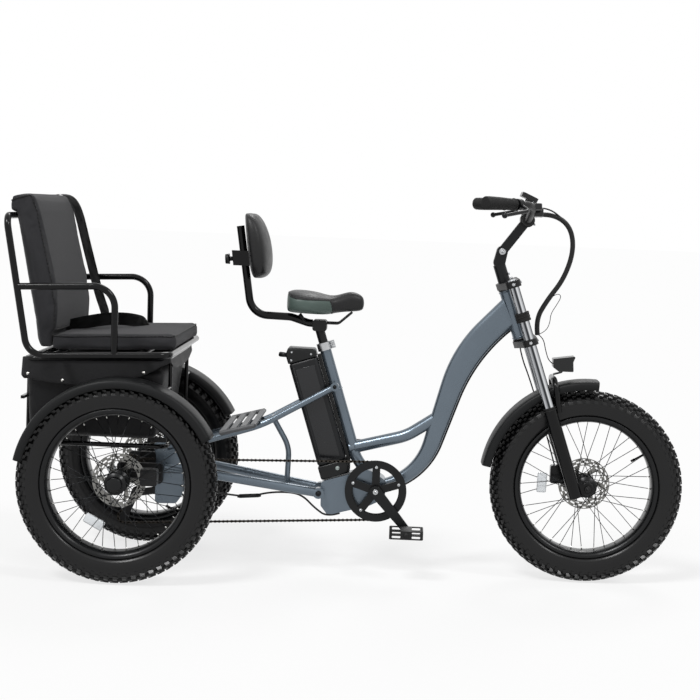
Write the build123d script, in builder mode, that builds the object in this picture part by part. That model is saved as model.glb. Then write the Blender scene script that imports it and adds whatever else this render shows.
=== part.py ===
from build123d import *
import os
from math import cos, radians, sin

# Electric delta tricycle: one front wheel, two rear wheels, a rider's saddle with a backrest,
# and a passenger seat over a storage bag between the rear wheels.
# Millimetres. +X is forward, +Y is the rider's left, +Z is up, and the floor is Z = 0.
# The origin is on the floor under the middle of the vehicle. Stations along the vehicle are
# measured forward from the rear axle.

# Wheels
WHEELBASE = 1408.0
TRACK = 655.0
TYRE_R = 297.5
TYRE_W = 98.0
RIM_R = 216.0
RIM_IN_R = 202.0
RIM_W = 80.0
RIM_LIP = 5.0
SPOKE_R = 1.6
SPOKE_COUNT = 36
FLANGE_R = 33.0
FLANGE_HALF = 30.0
HUB_R = 19.0
ROTOR_R = 80.0
ROTOR_T = 2.0
ROTOR_OUT = 44.0
ROTOR_Y = TRACK / 2 - ROTOR_OUT
CALIPER_OUT = 10.0

# Clearances
RUN = 0.05
FIT = 0.3

# Steering axis, front fork and front fender
HEAD_ANGLE = 71.0
FORK_OFFSET = 62.0
AXLE_TO_HEAD = 565.0
HEAD_R = 24.0
HEAD_LOW = -70.7
HEAD_TOP = 93.7
STEERER_R = 14.3
CROWN_T = 20.0
LEG_FORWARD = 20.0
LEG_SPAN = 160.0
STANCHION_R = 16.0
LOWER_R = 20.0
LOWER_TOP = -292.0
LOWER_END = -578.0
ARCH_FORWARD = 60.0
ARCH_S = -214.0
ARCH_R = 9.0
FRONT_FENDER_R = 331.0
FENDER_HALF_W = 58.0
FENDER_T = 2.6
FENDER_LIP = 28.0

# Main frame
MAIN_TUBE_W = 42.0
CRANK_X = WHEELBASE - 649.0
CRANK_Z = 263.0
CROSS_TUBE_R = 19.0
SEAT_ANGLE = 72.0
SEAT_TOP_X = CRANK_X - 177.5
SEAT_TOP_Z = 700.0
SEAT_TUBE_R = 17.5
HOUSING_HALF_W = 42.0
PIVOT_X = CRANK_X - 176.0
PIVOT_Z = 248.0
STAY_BOSS_Z = 579.0

# Rear frame and rear axle
STAY_R = 10.0
STAY_Y = 56.0
CHAINSTAY_R = 14.0
STRUT_R = 8.5
PLATE_Y = 110.0
PLATE_T = 8.0
AXLE_TUBE_R = 19.0
AXLE_TUBE_HALF = TRACK / 2 - 65.5
STUB_R = 8.5
REAR_FENDER_R = 311.0

# Drive
CHAINRING_R = 84.5
CHAINRING_Y = -62.0
GUARD_R = 95.0
CRANK_LENGTH = 150.0
CRANK_DROP = 49.0
CRANK_AXLE_R = 10.0
PEDAL_L = 103.0
PEDAL_W = 88.0
PEDAL_T = 26.0
COG_R = 28.0
CHAIN_W = 7.0
CHAIN_H = 8.0
TOOTH_H = 3.0

# Rider's seat
POST_R = 14.3
POST_RISE = 58.0
POST_DEPTH = 200.0
POST_BORE = 260.0
SADDLE_HALF_W = 112.0
BACKREST_HALF_W = 130.0
BACKREST_TUBE_R = 12.0

# Passenger seat, rack and bag
SEAT_HALF_SPAN = 361.0
SEAT_TILT = 2.2
SEAT_BASE_X = -216.0
SEAT_BASE_Z = 666.6
FRAME_TUBE_R = 10.0
CUSHION_HALF_W = 280.0
CUSHION_L = 378.0
CUSHION_T = 46.0
RACK_HALF_W = TRACK / 2 - FENDER_HALF_W - 11.5
RACK_R = 7.0
RACK_REAR_X = -293.0
RACK_FRONT_X = 132.0
RACK_LOW_Z = 392.0
REAR_REACH = 347.0

# Frames that the pieces are drawn in
REAR_AXLE_X = -(WHEELBASE + TYRE_R - REAR_REACH) / 2
CAR = Plane(origin=(REAR_AXLE_X, 0, 0))
SIDE = Plane(origin=(REAR_AXLE_X, 0, 0), x_dir=(1, 0, 0), z_dir=(0, -1, 0))
FRONT = Plane(origin=(REAR_AXLE_X + WHEELBASE, 0, 0))
FRONT_SIDE = Plane(origin=(REAR_AXLE_X + WHEELBASE, 0, 0), x_dir=(1, 0, 0), z_dir=(0, -1, 0))

lean = radians(90 - HEAD_ANGLE)
axis_up = Vector(-sin(lean), 0, cos(lean))
axis_ahead = Vector(cos(lean), 0, sin(lean))
front_axle = Vector(REAR_AXLE_X + WHEELBASE, 0, TYRE_R)
head_middle = front_axle - axis_ahead * FORK_OFFSET + axis_up * AXLE_TO_HEAD
STEER = Plane(origin=head_middle, x_dir=axis_ahead, z_dir=axis_up)
STEER_SIDE = Plane(origin=head_middle, x_dir=axis_ahead, z_dir=(0, -1, 0))

seat_lean = radians(90 - SEAT_ANGLE)
post_up = Vector(-sin(seat_lean), 0, cos(seat_lean))
post_ahead = Vector(cos(seat_lean), 0, sin(seat_lean))
STAY_BOSS_X = SEAT_TOP_X + (SEAT_TOP_Z - STAY_BOSS_Z) * sin(seat_lean) / cos(seat_lean)
SEAT = Plane(origin=(REAR_AXLE_X + SEAT_TOP_X, 0, SEAT_TOP_Z), x_dir=post_ahead, z_dir=post_up)
SEAT_SIDE = Plane(origin=SEAT.origin, x_dir=post_ahead, z_dir=(0, -1, 0))

tilt = radians(SEAT_TILT)
pan_ahead = Vector(cos(tilt), 0, sin(tilt))
pan_up = Vector(-sin(tilt), 0, cos(tilt))
pan_origin = Vector(REAR_AXLE_X + SEAT_BASE_X, 0, SEAT_BASE_Z)
SEAT_PAN = Plane(origin=pan_origin, x_dir=pan_ahead, z_dir=pan_up)
SEAT_PAN_SIDE = Plane(origin=pan_origin, x_dir=pan_ahead, z_dir=(0, -1, 0))


def head_point(ahead, up):
    """A point of the steering frame, as forward and up distances from the rear axle."""
    spot = head_middle + axis_ahead * ahead + axis_up * up
    return (spot.X - REAR_AXLE_X, spot.Z)


def wheel_plane(centre, angle):
    """Radial plane of a wheel: local x runs outwards at the angle, local y along the axle."""
    out = (cos(radians(angle)), 0, sin(radians(angle)))
    return Plane(origin=centre, x_dir=out, z_dir=(-out[2], 0, out[0]))


def save(builder, name):
    """Label a finished piece and write it."""
    builder.part.label = name
    export_step(builder.part, f"parts/{name}.step")


os.makedirs("parts", exist_ok=True)

# Main frame: head tube, deep swan-neck tube, cross tube, seat tube and crank housing, welded.
LOWER_EDGE = (head_point(-10, -27), (WHEELBASE - 358, 684), (CRANK_X + 162, CRANK_Z + 48),
              (CRANK_X + 8, CRANK_Z - 20))
LOWER_BENDS = [520, 235]
with BuildPart() as main_frame:
    with BuildSketch(SIDE):
        with BuildLine():
            upper = FilletPolyline(head_point(-19, 66), (WHEELBASE - 431, 711), (CRANK_X + 117, CRANK_Z + 62),
                                   (CRANK_X - 8, CRANK_Z + 19), radius=[440, 175])
            lower = FilletPolyline(*LOWER_EDGE, radius=LOWER_BENDS)
            Line(upper @ 0, lower @ 0)
            Line(upper @ 1, lower @ 1)
        make_face()
    extrude(amount=MAIN_TUBE_W / 2, both=True)
    long_arcs = main_frame.edges().filter_by(GeomType.CIRCLE)
    fillet(long_arcs, radius=MAIN_TUBE_W * 0.38)
    with BuildSketch(STEER.offset(HEAD_LOW)):
        Circle(HEAD_R)
    extrude(amount=HEAD_TOP - HEAD_LOW)
    with BuildLine(CAR) as cross_route:
        FilletPolyline((CRANK_X - 87, 0, 384), (CRANK_X + 89, 0, 430), (CRANK_X + 187, 0, 496), radius=170)
    with BuildSketch(Plane(origin=cross_route.line @ 0, z_dir=cross_route.line % 0)):
        Circle(CROSS_TUBE_R)
    sweep()
    with BuildLine(CAR) as seat_route:
        FilletPolyline((SEAT_TOP_X, 0, SEAT_TOP_Z), (SEAT_TOP_X + 112, 0, SEAT_TOP_Z - 345),
                       (CRANK_X - 6, 0, CRANK_Z + 16), radius=110)
    with BuildSketch(Plane(origin=seat_route.line @ 0, z_dir=seat_route.line % 0)):
        Circle(SEAT_TUBE_R)
    sweep()
    with BuildSketch(SIDE):
        with BuildLine():
            FilletPolyline((PIVOT_X + 6, 281), (CRANK_X - 24, 326), (CRANK_X + 31, 292), (CRANK_X + 29, 236),
                           (CRANK_X - 19, 212), (PIVOT_X + 30, 177), (PIVOT_X + 7, 206),
                           radius=[12, 30, 24, 20, 10, 8, 12], close=True)
        make_face()
    extrude(amount=HOUSING_HALF_W, both=True)
    with BuildSketch(SIDE):
        with Locations((STAY_BOSS_X, STAY_BOSS_Z)):
            Circle(9)
    extrude(amount=STAY_Y - STAY_R, both=True)
    with BuildSketch(STEER.offset(HEAD_LOW)):
        Circle(STEERER_R + RUN)
    extrude(amount=HEAD_TOP - HEAD_LOW, mode=Mode.SUBTRACT)
    with BuildSketch(SEAT.offset(-POST_BORE)):
        Circle(POST_R + RUN)
    extrude(amount=POST_BORE + 10, mode=Mode.SUBTRACT)
    with BuildSketch(SIDE):
        with Locations((CRANK_X, CRANK_Z)):
            Circle(CRANK_AXLE_R + RUN)
    extrude(amount=HOUSING_HALF_W + 10, both=True, mode=Mode.SUBTRACT)
save(main_frame, "main_frame")

# Rear frame: two bent upper stays, two lower tubes, a bowed strut and two axle plates.
STAY_FOOT = (120, PLATE_Y, 366)
LOWER_FOOT = (112, PLATE_Y, 318)
with BuildPart() as rear_frame:
    for side in (-1, 1):
        with BuildLine(CAR) as stay_route:
            FilletPolyline((STAY_BOSS_X, side * STAY_Y, STAY_BOSS_Z), (400, side * 62, 452),
                           (STAY_FOOT[0], side * STAY_FOOT[1], STAY_FOOT[2]), radius=300)
        with BuildSketch(Plane(origin=stay_route.line @ 0, z_dir=stay_route.line % 0)):
            Circle(STAY_R)
        sweep()
        with BuildSketch(SIDE.offset(-side * (STAY_Y - STAY_R))):
            with Locations((STAY_BOSS_X, STAY_BOSS_Z)):
                Circle(13)
        extrude(amount=-side * 2 * STAY_R)
        with BuildLine(CAR) as lower_route:
            Line((PIVOT_X, side * (HOUSING_HALF_W + 14.3), PIVOT_Z),
                 (LOWER_FOOT[0], side * LOWER_FOOT[1], LOWER_FOOT[2]))
        with BuildSketch(Plane(origin=lower_route.line @ 0, z_dir=lower_route.line % 0)):
            Circle(CHAINSTAY_R)
        sweep()
        with BuildSketch(SIDE.offset(-side * HOUSING_HALF_W)):
            with Locations((PIVOT_X, PIVOT_Z)):
                Circle(17)
        extrude(amount=-side * 26)
        with BuildSketch(SIDE.offset(-side * (PLATE_Y - PLATE_T / 2))):
            with BuildLine():
                FilletPolyline((85, 204), (150, 206), (168, 232), (168, 330), (130, RACK_LOW_Z),
                               (72, RACK_LOW_Z), (85, 350), radius=12, close=True)
            make_face()
        extrude(amount=-side * PLATE_T)
    for station, height, half in ((432, 468, 62), (481, 263, 68)):
        with BuildSketch(SIDE):
            with Locations((station, height)):
                Circle(STRUT_R)
        extrude(amount=half, both=True)
    with BuildLine(CAR) as strut_route:
        FilletPolyline((432, 0, 468), (484, 0, 380), (481, 0, 263), radius=110)
    with BuildSketch(Plane(origin=strut_route.line @ 0, z_dir=strut_route.line % 0)):
        Circle(STRUT_R)
    sweep()
save(rear_frame, "rear_frame")

# Rear axle: tube, stub axles, bearing blocks on the outer faces of the plates, brake calipers.
with BuildPart() as rear_axle:
    with BuildSketch(SIDE):
        with Locations((0, TYRE_R)):
            Circle(AXLE_TUBE_R)
    extrude(amount=AXLE_TUBE_HALF, both=True)
    with BuildSketch(SIDE):
        with Locations((0, TYRE_R)):
            Circle(STUB_R)
    extrude(amount=TRACK / 2 + 30, both=True)
    for side in (-1, 1):
        with BuildSketch(SIDE.offset(-side * (PLATE_Y + PLATE_T / 2))):
            with Locations((38, TYRE_R)):
                RectangleRounded(140, 62, 10)
        extrude(amount=-side * 16)
        with BuildSketch(SIDE.offset(-side * (AXLE_TUBE_HALF - 8))):
            with Locations((0, TYRE_R)):
                Circle(30)
            with Locations((52, TYRE_R + 8)):
                Rectangle(104, 34)
        extrude(amount=-side * 8)
        with BuildSketch(SIDE.offset(-side * (AXLE_TUBE_HALF - 8))):
            with Locations((88, TYRE_R + 12)):
                RectangleRounded(50, 50, 7)
        extrude(amount=-side * (ROTOR_Y + CALIPER_OUT - AXLE_TUBE_HALF + 8))
        with BuildSketch(SIDE.offset(-side * (ROTOR_Y - 3))):
            with Locations((0, TYRE_R)):
                Circle(ROTOR_R + 3)
                Circle(40, mode=Mode.SUBTRACT)
        extrude(amount=-side * 6, mode=Mode.SUBTRACT)
save(rear_axle, "rear_axle")

# Battery pack on its rail behind the seat tube.
BATTERY_REAR = -121.0
BATTERY_FRONT = -28.0
BATTERY_LOW = -398.0
with BuildPart() as battery:
    with BuildSketch(SEAT_SIDE):
        with BuildLine():
            Polyline((BATTERY_REAR, BATTERY_LOW), (BATTERY_FRONT, BATTERY_LOW), (BATTERY_FRONT, 0),
                     (BATTERY_REAR + 14, 27), (BATTERY_REAR, 8), close=True)
        make_face()
    extrude(amount=42, both=True)
    fillet(battery.edges().filter_by(Axis(SEAT.origin, post_up)), radius=12)
save(battery, "battery")

with BuildPart() as battery_rail:
    with BuildSketch(SEAT_SIDE):
        with BuildLine():
            Polyline((BATTERY_FRONT + FIT, BATTERY_LOW + 6), (BATTERY_FRONT + FIT, -20),
                     (-SEAT_TUBE_R - FIT, -20), (-SEAT_TUBE_R - FIT, -340),
                     (-SEAT_TUBE_R + 0.2, -358), close=True)
        make_face()
    extrude(amount=15, both=True)
save(battery_rail, "battery_rail")

# Seat clamp: split collar on top of the seat tube.
with BuildPart() as seat_clamp:
    with BuildSketch(SEAT.offset(-14)):
        Circle(SEAT_TUBE_R + 5)
        with Locations((SEAT_TUBE_R + 8, 0)):
            Rectangle(16, 16)
        Circle(SEAT_TUBE_R + RUN, mode=Mode.SUBTRACT)
    extrude(amount=24)
save(seat_clamp, "seat_clamp")

# Seat post with the saddle clamp and the two saddle rails.
post_top = SEAT.origin + post_up * POST_RISE
SADDLE = Plane(origin=(post_top.X, 0, post_top.Z))
CLAMP_L = 44.0
CLAMP_REAR_X = post_top.X - REAR_AXLE_X + 2 - CLAMP_L / 2
SADDLE_SIDE = Plane(origin=SADDLE.origin, x_dir=(1, 0, 0), z_dir=(0, -1, 0))
with BuildPart() as seat_post:
    with BuildSketch(SEAT.offset(-POST_DEPTH)):
        Circle(POST_R)
    extrude(amount=POST_DEPTH + POST_RISE)
    with BuildSketch(SADDLE_SIDE):
        with Locations((2, 8)):
            RectangleRounded(CLAMP_L, 34, 8)
    extrude(amount=30, both=True)
    for side in (-1, 1):
        with BuildLine(SADDLE) as rail_route:
            FilletPolyline((-62, side * 22, 40.2), (-44, side * 22, 16), (60, side * 22, 16),
                           (100, side * 18, 51.8), radius=18)
        with BuildSketch(Plane(origin=rail_route.line @ 0, z_dir=rail_route.line % 0)):
            Circle(3.5)
        sweep()
save(seat_post, "seat_post")

# Saddle: the side outline crossed with the plan outline.
with BuildPart() as saddle:
    with BuildSketch(SADDLE_SIDE):
        with BuildLine():
            FilletPolyline((-101, 60), (-97, 100), (-80, 113), (-17, 112), (38, 99), (90, 118), (128, 106),
                           (139, 91), (136, 57), (46, 52), (21, 40), (-97, 44), radius=9, close=True)
        make_face()
    extrude(amount=SADDLE_HALF_W, both=True)
    with BuildSketch(SADDLE):
        with BuildLine():
            FilletPolyline((-101, 60), (-72, SADDLE_HALF_W), (-20, SADDLE_HALF_W - 8), (36, 46),
                           (140, 24), (140, -24), (36, -46), (-20, 8 - SADDLE_HALF_W),
                           (-72, -SADDLE_HALF_W), (-101, -60), radius=20, close=True)
        make_face()
    extrude(amount=200, mode=Mode.INTERSECT)
save(saddle, "saddle")

# Backrest: bent tube under the saddle, height clamp and padded back, from the tube's lower bend.
BACK_X = SEAT_TOP_X - 229.5
BACK_SIDE = Plane(origin=(REAR_AXLE_X + BACK_X, 0, 0), x_dir=(1, 0, 0), z_dir=(0, -1, 0))
with BuildPart() as backrest_tube:
    with BuildLine(CAR) as back_route:
        FilletPolyline((CLAMP_REAR_X, 0, 768), (CLAMP_REAR_X - 12, 0, 768), (CLAMP_REAR_X - 68, 0, 785),
                       (BACK_X, 0, 788), (BACK_X - 43, 0, 1060), radius=[60, 60, 60])
    with BuildSketch(Plane(origin=back_route.line @ 0, z_dir=back_route.line % 0)):
        Circle(BACKREST_TUBE_R)
    sweep()
    with BuildSketch(BACK_SIDE):
        with BuildLine():
            Polyline((-60, 938), (1.7, 938), (-6.6, 984), (-66, 984), close=True)
        make_face()
    extrude(amount=18, both=True)
save(backrest_tube, "backrest_tube")

with BuildPart() as backrest_pad:
    with BuildSketch(BACK_SIDE):
        with BuildLine():
            FilletPolyline((-27, 1098), (14, 1102), (42, 1052), (58, 972), (58, 925), (42, 901), (8, 905),
                           radius=8, close=True)
        make_face()
    extrude(amount=BACKREST_HALF_W, both=True)
save(backrest_pad, "backrest_pad")

# Passenger seat frame: one bent tube loop, two armrests and two cross members.
SEAT_BACK_TOP = (-337, 1068)
with BuildPart() as passenger_frame:
    with BuildLine(CAR) as loop_route:
        FilletPolyline((SEAT_BACK_TOP[0], 0, SEAT_BACK_TOP[1]),
                       (SEAT_BACK_TOP[0], -SEAT_HALF_SPAN, SEAT_BACK_TOP[1]),
                       (-266, -SEAT_HALF_SPAN, 664.7), (145, -SEAT_HALF_SPAN, 680.5),
                       (145, 0, 680.5), radius=[40, 55, 40])
    with BuildSketch(Plane(origin=loop_route.line @ 0, z_dir=loop_route.line % 0)):
        Circle(FRAME_TUBE_R)
    sweep()
    with BuildLine(CAR) as arm_route:
        FilletPolyline((-302, -SEAT_HALF_SPAN, 864), (-15, -SEAT_HALF_SPAN, 876),
                       (-13, -SEAT_HALF_SPAN, 674), radius=62)
    with BuildSketch(Plane(origin=arm_route.line @ 0, z_dir=arm_route.line % 0)):
        Circle(FRAME_TUBE_R)
    sweep()
    mirror(about=Plane.XZ)
    for station in (30, 275):
        with BuildSketch(SEAT_PAN_SIDE):
            with Locations((station, 0)):
                Circle(FRAME_TUBE_R)
        extrude(amount=SEAT_HALF_SPAN, both=True)
save(passenger_frame, "passenger_frame")

with BuildPart() as seat_cushion:
    with BuildSketch(SEAT_PAN.offset(FRAME_TUBE_R + FIT)):
        with Locations((CUSHION_L / 2, 0)):
            RectangleRounded(CUSHION_L, 2 * CUSHION_HALF_W, 24)
    extrude(amount=CUSHION_T)
save(seat_cushion, "seat_cushion")

with BuildPart() as back_cushion:
    with BuildSketch(SIDE):
        with BuildLine():
            Polyline((-339, 1112), (-288, 1132), (-224, 880), (-222, 681), (-234, 681),
                     (-325.8, 1066), (-325.8, 1078.4), (-339, 1078.4), close=True)
        make_face()
    extrude(amount=CUSHION_HALF_W, both=True)
save(back_cushion, "back_cushion")

# Rack: cage of round tube on the rear frame that carries the seat and holds the bag.
ring_drop = FRAME_TUBE_R + RACK_R
with BuildPart() as rack:
    corners = ((RACK_REAR_X, -RACK_HALF_W), (RACK_FRONT_X, -RACK_HALF_W),
               (RACK_FRONT_X, RACK_HALF_W), (RACK_REAR_X, RACK_HALF_W))
    for ring in ("low", "high"):
        if ring == "low":
            heights = [RACK_LOW_Z + RACK_R] * 4
        else:
            heights = [SEAT_BASE_Z + (x - SEAT_BASE_X) * sin(tilt) - ring_drop for x, y in corners]
        ring_points = [(x, y, z) for (x, y), z in zip(corners, heights)]
        with BuildLine(CAR) as ring_route:
            FilletPolyline(*ring_points, radius=30, close=True)
        with BuildSketch(Plane(origin=ring_route.line @ 0, z_dir=ring_route.line % 0)):
            Circle(RACK_R)
        sweep()
    for station in (RACK_REAR_X, RACK_FRONT_X):
        for side in (-1, 1):
            top = SEAT_BASE_Z + (station - SEAT_BASE_X) * sin(tilt) - ring_drop
            inward = 60
            with BuildSketch(CAR.offset(RACK_LOW_Z + RACK_R)):
                with Locations((station, side * (RACK_HALF_W - inward))):
                    Circle(RACK_R - 1)
            extrude(amount=top - RACK_LOW_Z - RACK_R)
    with BuildSketch(Plane.YZ.offset(REAR_AXLE_X + RACK_REAR_X)):
        with Locations((0, 534)):
            Rectangle(2 * (RACK_HALF_W + 30), 9)
    extrude(amount=5, both=True)
    for side in (-1, 1):
        with BuildSketch(SIDE.offset(-side * (PLATE_Y - PLATE_T / 2))):
            with Locations((104, RACK_LOW_Z + RACK_R)):
                Rectangle(96, 2 * RACK_R)
        extrude(amount=-side * PLATE_T)
        with BuildSketch(SIDE.offset(-side * RACK_HALF_W)):
            with Locations((RACK_REAR_X + 19, RACK_LOW_Z + RACK_R)):
                Rectangle(20, 2 * RACK_R)
        extrude(amount=-side * (TRACK / 2 - FENDER_HALF_W - RACK_HALF_W))
        with BuildSketch(SIDE.offset(-side * (RACK_HALF_W - 60))):
            with Locations((RACK_FRONT_X, 571)):
                Circle(5)
        extrude(amount=-side * (TRACK / 2 - FENDER_HALF_W - RACK_HALF_W + 60))
save(rack, "rack")

# Bag: deep fabric box inside the cage with a wider skirt under the seat.
with BuildPart() as storage_bag:
    with BuildSketch(CAR.offset(RACK_LOW_Z + 2 * RACK_R + FIT)):
        with Locations(((RACK_REAR_X + RACK_FRONT_X) / 2 - 12, 0)):
            RectangleRounded(RACK_FRONT_X - RACK_REAR_X - 46, 2 * RACK_HALF_W - 46, 22)
    extrude(amount=226)
    with BuildSketch(CAR.offset(600)):
        with Locations(((RACK_REAR_X + RACK_FRONT_X) / 2, 0)):
            RectangleRounded(RACK_FRONT_X - RACK_REAR_X - 16, 2 * RACK_HALF_W - 16, 20)
    extrude(amount=40)
save(storage_bag, "storage_bag")

# Seat belt: a shoulder strap at the far side and a lap belt that lies on the cushion.
with BuildPart() as seat_belt:
    with BuildSketch(SIDE.offset(-(CUSHION_HALF_W + FIT + 3))):
        with BuildLine():
            FilletPolyline((-280, 1098), (-258, 1104), (-208, 900), (-170, 747), (-202, 747),
                           (-234, 900), radius=10, close=True)
        make_face()
    extrude(amount=3)
save(seat_belt, "seat_belt")

# Rear fenders: half-round strips with turned-down edges.
for side, name in ((-1, "right"), (1, "left")):
    fender_middle = (REAR_AXLE_X + 4, side * TRACK / 2, TYRE_R)
    with BuildPart() as rear_fender:
        with BuildSketch(wheel_plane(fender_middle, 168.5)):
            with Locations((REAR_FENDER_R - FENDER_LIP / 2, 0)):
                Rectangle(FENDER_LIP, 2 * FENDER_HALF_W)
            with Locations((REAR_FENDER_R - FENDER_LIP / 2 - FENDER_T, 0)):
                Rectangle(FENDER_LIP, 2 * (FENDER_HALF_W - FENDER_T), mode=Mode.SUBTRACT)
        revolve(axis=Axis(fender_middle, (0, 1, 0)), revolution_arc=140.5)
    save(rear_fender, f"fender_{name}")

# Footrest for the passenger: two rails across the stays with four bars between them.
with BuildPart() as footrest:
    for side in (-1, 1):
        with BuildLine(CAR) as rest_route:
            Line((286, side * 200, 439), (390, side * 200, 467))
        with BuildSketch(Plane(origin=rest_route.line @ 0, z_dir=rest_route.line % 0)):
            Circle(7)
        sweep()
    for station in (0, 1, 2, 3):
        with BuildSketch(SIDE):
            with Locations((292 + 31 * station, 441.8 + 8.35 * station)):
                RectangleRounded(18, 9, 3)
        extrude(amount=200, both=True)
save(footrest, "footrest")

# Chain: one closed loop round the chainring, the cog and the two tension pulleys.
chain_y = -CHAINRING_Y
CHAIN_WRAP_R = CHAINRING_R + 1.5 + CHAIN_H / 2
COG_WRAP_R = COG_R + 1 + CHAIN_H / 2
PULLEY_R = 14.0
PULLEY_WRAP_R = PULLEY_R + 1 + CHAIN_H / 2
CHAIN_CORNERS = [(CRANK_X + CHAIN_WRAP_R, CRANK_Z + CHAIN_WRAP_R + 2.6),
                 (CRANK_X + CHAIN_WRAP_R, CRANK_Z - CHAIN_WRAP_R + 5),
                 (-36, 129), (-36, 182), (40, 206), (40, 257),
                 (-COG_WRAP_R, TYRE_R - COG_WRAP_R - 2), (-COG_WRAP_R, TYRE_R + COG_WRAP_R)]
CHAIN_BENDS = [CHAIN_WRAP_R - 0.5, CHAIN_WRAP_R - 0.5, PULLEY_WRAP_R, 14, 18, 14, 31, 31]
with BuildPart() as chain:
    for side_step, mode in ((CHAIN_H / 2, Mode.ADD), (-CHAIN_H / 2, Mode.SUBTRACT)):
        with BuildSketch(SIDE.offset(chain_y - CHAIN_W / 2)):
            with BuildLine():
                FilletPolyline(*CHAIN_CORNERS, radius=CHAIN_BENDS, close=True)
            make_face()
            offset(amount=side_step, kind=Kind.ARC)
        extrude(amount=CHAIN_W, mode=mode)
save(chain, "chain")

# Derailleur: arm from the right axle plate, two pulleys and the cage between them.
GUIDE_PULLEY = (20, 231)
TENSION_PULLEY = (-16, 149)
with BuildPart() as derailleur:
    for pulley in (GUIDE_PULLEY, TENSION_PULLEY):
        with BuildSketch(SIDE.offset(chain_y - CHAIN_W / 2)):
            with Locations(pulley):
                Circle(PULLEY_R)
        extrude(amount=CHAIN_W)
    for start in (chain_y - CHAIN_W / 2 - 4, chain_y + CHAIN_W / 2 + 1):
        with BuildSketch(SIDE.offset(start)):
            with Locations(GUIDE_PULLEY, TENSION_PULLEY):
                Circle(11)
            make_hull()
        extrude(amount=3)
        for pulley in (GUIDE_PULLEY, TENSION_PULLEY):
            with BuildSketch(SIDE.offset(chain_y - CHAIN_W / 2 - 4)):
                with Locations(pulley):
                    Circle(4)
            extrude(amount=CHAIN_W + 8)
    with BuildSketch(SIDE.offset(chain_y + CHAIN_W / 2 + 1)):
        with Locations(GUIDE_PULLEY):
            Circle(9)
    extrude(amount=PLATE_Y - PLATE_T / 2 - chain_y - CHAIN_W / 2 - 1)
    with BuildSketch(SIDE.offset(PLATE_Y - PLATE_T / 2)):
        with Locations(GUIDE_PULLEY, (104, 246)):
            Circle(11)
        make_hull()
    extrude(amount=-6)
save(derailleur, "derailleur")

# Cog stack that the chain drives, turning on the axle tube.
# outer radius, width, teeth
COGS = ((28, 8, 14), (31, 5, 15), (34, 5, 17), (37, 5, 18), (41, 5, 20), (46, 5, 23))
with BuildPart() as cog_stack:
    reach = chain_y + CHAIN_W / 2
    for radius, width, teeth in COGS:
        with BuildSketch(SIDE.offset(reach - width)):
            with Locations((0, TYRE_R)):
                Circle(radius - TOOTH_H)
                Circle(AXLE_TUBE_R + RUN, mode=Mode.SUBTRACT)
        extrude(amount=width)
        with BuildSketch(SIDE.offset(reach - width / 2 - 1.5)):
            with Locations((0, TYRE_R)):
                with PolarLocations(radius - TOOTH_H / 2 - 0.5, teeth):
                    Trapezoid(6, TOOTH_H + 1, 68, rotation=-90)
        extrude(amount=3)
        reach -= width
save(cog_stack, "cog_stack")

# Cable that the frame holds along the lower edge of the main tube.
CABLE_R = 2.5
cable_gap = CABLE_R + FIT
edge_spots = [CAR.from_local_coords(Vector(x, 0, z)) for x, z in LOWER_EDGE]
runs = [(after - before).normalized() for before, after in zip(edge_spots, edge_spots[1:])]
outs = [Vector(-run.Z, 0, run.X) for run in runs]
corners = [spot + (first + second) * (cable_gap / (1 + first.dot(second)))
           for spot, first, second in zip(edge_spots[1:], outs, outs[1:])]
cable_start = corners[0] - runs[0] * 150
cable_end = corners[-1] + runs[-1] * 106
with BuildPart() as frame_cable:
    with BuildLine() as cable_route:
        FilletPolyline(cable_start, *corners, cable_end,
                       radius=[LOWER_BENDS[0] - cable_gap, LOWER_BENDS[1] + cable_gap])
    with BuildSketch(Plane(origin=cable_route.line @ 0, z_dir=cable_route.line % 0)):
        Circle(CABLE_R)
    sweep()
    with BuildSketch(STEER.offset(HEAD_LOW)):
        Circle(HEAD_R + FIT)
    extrude(amount=HEAD_TOP - HEAD_LOW, mode=Mode.SUBTRACT)
save(frame_cable, "frame_cable")

# Fork crowns with the steerer tube between them.
lower_crown_s = HEAD_LOW - FIT - CROWN_T
upper_crown_s = HEAD_TOP + FIT
with BuildPart() as fork_crowns:
    with BuildSketch(STEER.offset(lower_crown_s)):
        Circle(STEERER_R)
    extrude(amount=upper_crown_s + CROWN_T + 56 - lower_crown_s)
    for level in (lower_crown_s, upper_crown_s):
        with BuildSketch(STEER.offset(level)):
            Circle(28)
            with Locations((LEG_FORWARD, LEG_SPAN / 2), (LEG_FORWARD, -LEG_SPAN / 2)):
                Circle(STANCHION_R + 8)
            make_hull()
        extrude(amount=CROWN_T)
        with BuildSketch(STEER.offset(level)):
            with Locations((LEG_FORWARD, LEG_SPAN / 2), (LEG_FORWARD, -LEG_SPAN / 2)):
                Circle(STANCHION_R + RUN)
        extrude(amount=CROWN_T, mode=Mode.SUBTRACT)
save(fork_crowns, "fork_crowns")

# Polished stanchions, with rubber bump stops round them beside the head tube.
with BuildPart() as stanchions:
    with BuildSketch(STEER.offset(LOWER_TOP)):
        with Locations((LEG_FORWARD, LEG_SPAN / 2), (LEG_FORWARD, -LEG_SPAN / 2)):
            Circle(STANCHION_R)
    extrude(amount=upper_crown_s + CROWN_T - LOWER_TOP)
save(stanchions, "stanchions")

with BuildPart() as bump_stops:
    with BuildSketch(STEER.offset(-14)):
        with Locations((LEG_FORWARD, LEG_SPAN / 2), (LEG_FORWARD, -LEG_SPAN / 2)):
            Circle(STANCHION_R + 6)
            Circle(STANCHION_R + RUN, mode=Mode.SUBTRACT)
    extrude(amount=28)
save(bump_stops, "bump_stops")

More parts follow.
